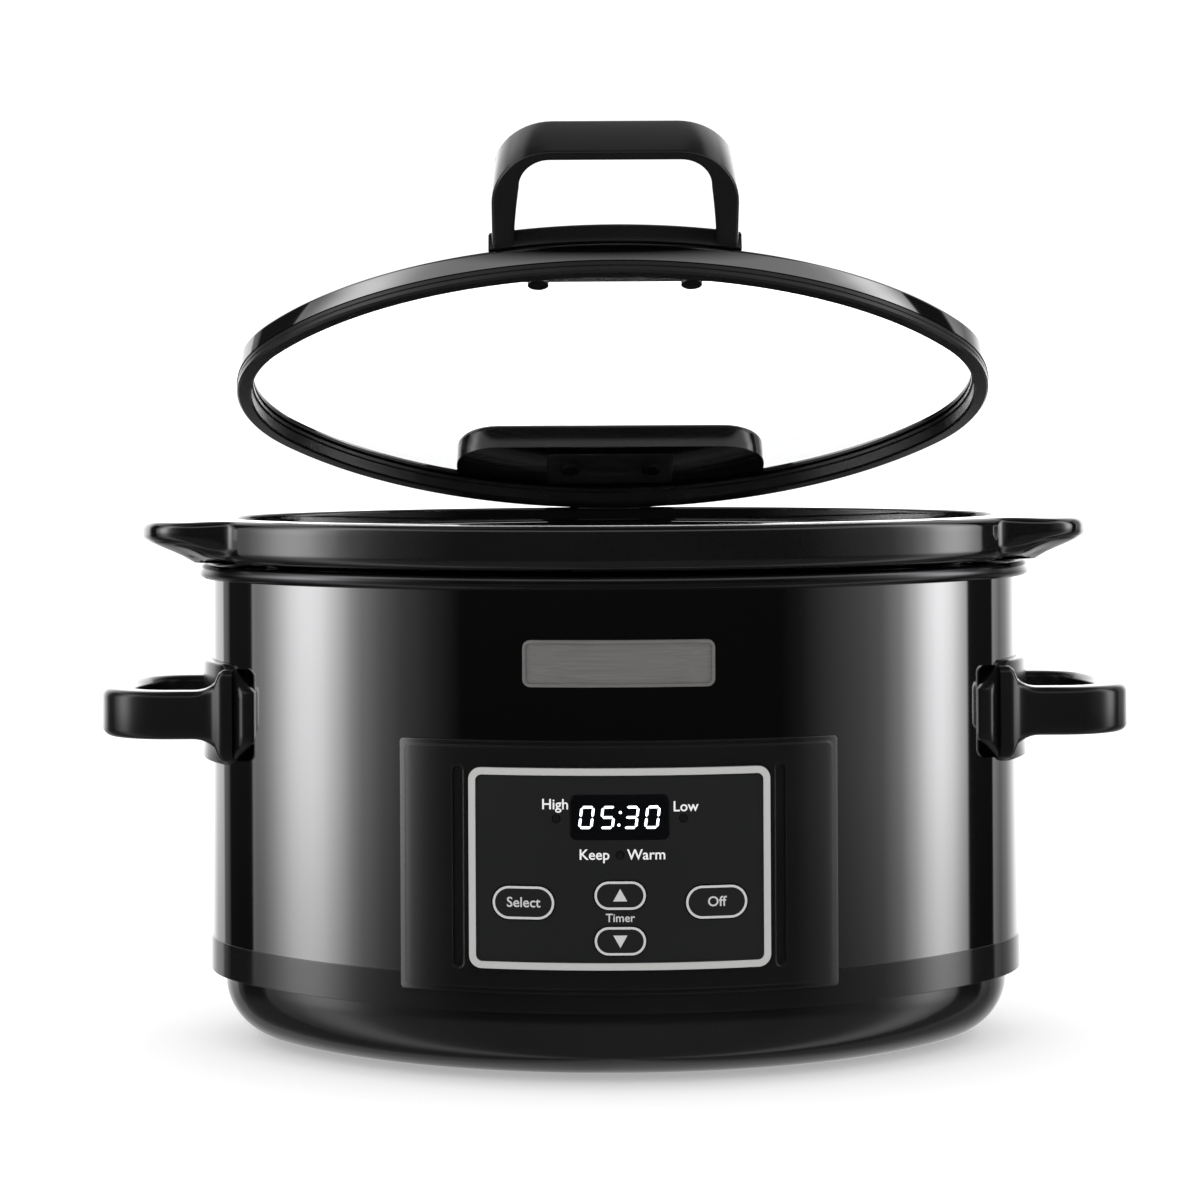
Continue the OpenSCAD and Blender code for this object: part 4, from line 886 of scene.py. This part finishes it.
cover_top = glass_top + 12 * MM
inside_ring = lid_in + ring_w + 0.4 * MM
place("hinge_cover_shell", plan_block("hinge_cover_shell", [
    (glass_top + 0.1 * MM, 0.0, inside_ring), (ring_top + 0.3 * MM, 0.0, inside_ring),
    (ring_top + 0.5 * MM, 0.0, lid_in), (cover_top - 3.6 * MM, 0.0, lid_in),
    (cover_top - 1.8 * MM, 0.5 * MM, lid_in + 0.5 * MM),
    (cover_top - 0.6 * MM, 1.6 * MM, lid_in + 1.6 * MM),
    (cover_top, 3.6 * MM, lid_in + 3.6 * MM)],
    back=50 * MM, half=68.5 * MM, sweep_corner=19 * MM, material=gloss_black_skin, front=False),
    "lid", "hinge_cover")

# ---- Lid glass, ring and seal ----------------------------------------------------
# A flat pane of clear tempered glass in a black silicone seal, gripped by a rolled ring
# of the same dark polished steel as the wrap.
clear = Finish("clear_glass")
dust = clear.grain(35, 3)
clear_skin = clear.shade(
    Base_Color=clear.mix(dust, (0.985, 0.992, 0.99, 1), (1, 1, 1, 1)), Roughness=0.008 * dust,
    Transmission_Weight=1.0, IOR=1.45, Specular_IOR_Level=0.4)
glass_low = glass_top - 4 * MM
pane = []
for out, z in ((-12.3, 0), (-11.75, 0.4), (-11.75, 3.6), (-12.3, 4)):
    edge = [oval_at(math.cos(a), math.sin(a), out * MM)
            for a in (2 * math.pi * k / 288 for k in range(288))]
    pane.append([(x, mid_y + y, glass_low + z * MM) for x, y in edge])
pane_mesh = tube("lid_pane", pane, clear_skin)
pane_mesh.transform(swing)
place("lid_pane", pane_mesh, "lid", "lid_glass")

ring_low = ring_top - 8 * MM
outer, inner = -lid_in, -lid_in - ring_w
roll_r = 1.8 * MM
place("lid_steel_ring", carried("lid_steel_ring", [
    (outer - sheet, ring_low), (outer - 0.1 * MM, ring_low),
    *corner(outer - roll_r, ring_top - roll_r, roll_r, 0, 90),
    (inner, ring_top), (inner, ring_top - sheet), (outer - 1.9 * MM, ring_top - sheet),
    (outer - 0.9 * MM, ring_top - roll_r)], dark_steel_skin, turned=swing), "lid", "lid_ring")

silicone = Finish("black_silicone")
chalk = silicone.grain(50, 3)
silicone_skin = silicone.shade(
    Base_Color=silicone.mix(chalk, (0.006, 0.006, 0.006, 1), (0.014, 0.014, 0.0135, 1)),
    Roughness=0.20 + 0.12 * chalk, height=chalk, depth=0.00003)
lip_low, lip_out, pane_edge = ring_low - 5 * MM, outer - 0.4 * MM, outer - 1.7 * MM
place("lid_lip", carried("lid_lip", [
    (outer - sheet, ring_low - 0.02 * MM), (lip_out, ring_low - 0.4 * MM),
    (lip_out, ring_low - 1.9 * MM), (outer - sheet, ring_low - 2.2 * MM),
    (lip_out, ring_low - 2.5 * MM), (lip_out, lip_low + 0.9 * MM),
    (outer - 1.2 * MM, lip_low), (inner + 1.4 * MM, lip_low),
    (inner + 0.6 * MM, lip_low + 0.8 * MM), (inner + 0.6 * MM, ring_low),
    (inner, ring_low + 0.6 * MM), (inner, glass_low), (pane_edge, glass_low),
    (pane_edge, glass_top), (inner, glass_top), (inner, ring_top - sheet),
    (outer - sheet, ring_top - sheet)], silicone_skin, turned=swing), "lid", "lid_seal")

# ---- Lid handle ------------------------------------------------------------------
# A satin black loop that leans forward over the lid: a deep bar between two legs that
# narrow into a foot, screwed up through the glass at the front edge.
as_made(zinc_skin, "lid_handle_screws")
loop_w, loop_h, bar_t, bar_depth, leg_depth = 97 * MM, 42 * MM, 4.2 * MM, 25 * MM, 12 * MM
outer_bend, inner_bend, inner_bend_in, sunk = 24 * MM, 12 * MM, 23 * MM, 3 * MM
lean = math.radians(60)
root = Vector((0, mid_y - lid_half_d + 4 * MM, ring_top + 1 * MM))


def strap_stations():
    """Sections of the arch between its outer and inner outlines, from the left foot to the right."""
    half, top, under = loop_w / 2, loop_h, loop_h - bar_t
    pairs = []
    for k in range(12):
        low, high = -sunk + 21 * MM * k / 12, -sunk + (under - 9 * MM) * k / 12
        pairs.append(((-half, low), (-half + 8.6 * MM + 2.4 * MM * (k / 12) ** 1.5, high)))
    for k in range(15):
        c, s = math.cos(math.radians(180 - 90 * k / 14)), math.sin(math.radians(180 - 90 * k / 14))
        pairs.append(((-half + outer_bend + outer_bend * c, top - outer_bend + outer_bend * s),
                      (-half + inner_bend_in + inner_bend * c, under - inner_bend + inner_bend * s)))
    for k in range(1, 9):
        pairs.append((((-half + outer_bend) * (1 - k / 8), top),
                      ((-half + inner_bend_in) * (1 - k / 8), under)))
    rings = []
    for (ox, oz), (ix, iz) in pairs:
        thick = math.hypot(ox - ix, oz - iz)
        nx, nz = (ox - ix) / thick, (oz - iz) / thick
        level = (oz + iz) / 2 / top
        depth = leg_depth + (bar_depth - leg_depth) * min(max((level - 0.1) / 0.6, 0), 1)
        rings.append([Vector(((ox + ix) / 2 + nx * u, v + depth / 2, (oz + iz) / 2 + nz * u))
                      for u, v in round_box(thick, depth, 1.7 * MM, 4)])
    mirror = [[Vector((-p.x, p.y, p.z)) for p in ring] for ring in rings[-2::-1]]
    return rings + mirror


stand = Matrix.Translation(root) @ Matrix.Rotation(lean, 4, "X")
strap = [[stand @ p for p in ring] for ring in strap_stations()]
strap = [[Vector((p.x, p.y, max(p.z, ring_top + 0.4 * MM))) for p in ring] for ring in strap]
strap_mesh = tube("lid_handle_loop", strap, satin_black_skin, 50)
strap_mesh.transform(swing)
place("lid_handle_loop", strap_mesh, "lid", "lid_handle")
foot_top = ring_top + 8.5 * MM
place("lid_handle_foot", plan_block("lid_handle_foot", [
    (glass_top + 0.1 * MM, 0.0, inside_ring), (ring_top + 0.2 * MM, 0.0, inside_ring),
    (ring_top + 0.3 * MM, 0.0, lid_in), (foot_top - 2.0 * MM, 0.0, lid_in),
    (foot_top - 0.7 * MM, 0.5 * MM, lid_in + 0.5 * MM), (foot_top, 1.8 * MM, lid_in + 1.8 * MM)],
    back=27 * MM, half=50 * MM, sweep_corner=6 * MM, material=satin_black_skin), "lid")
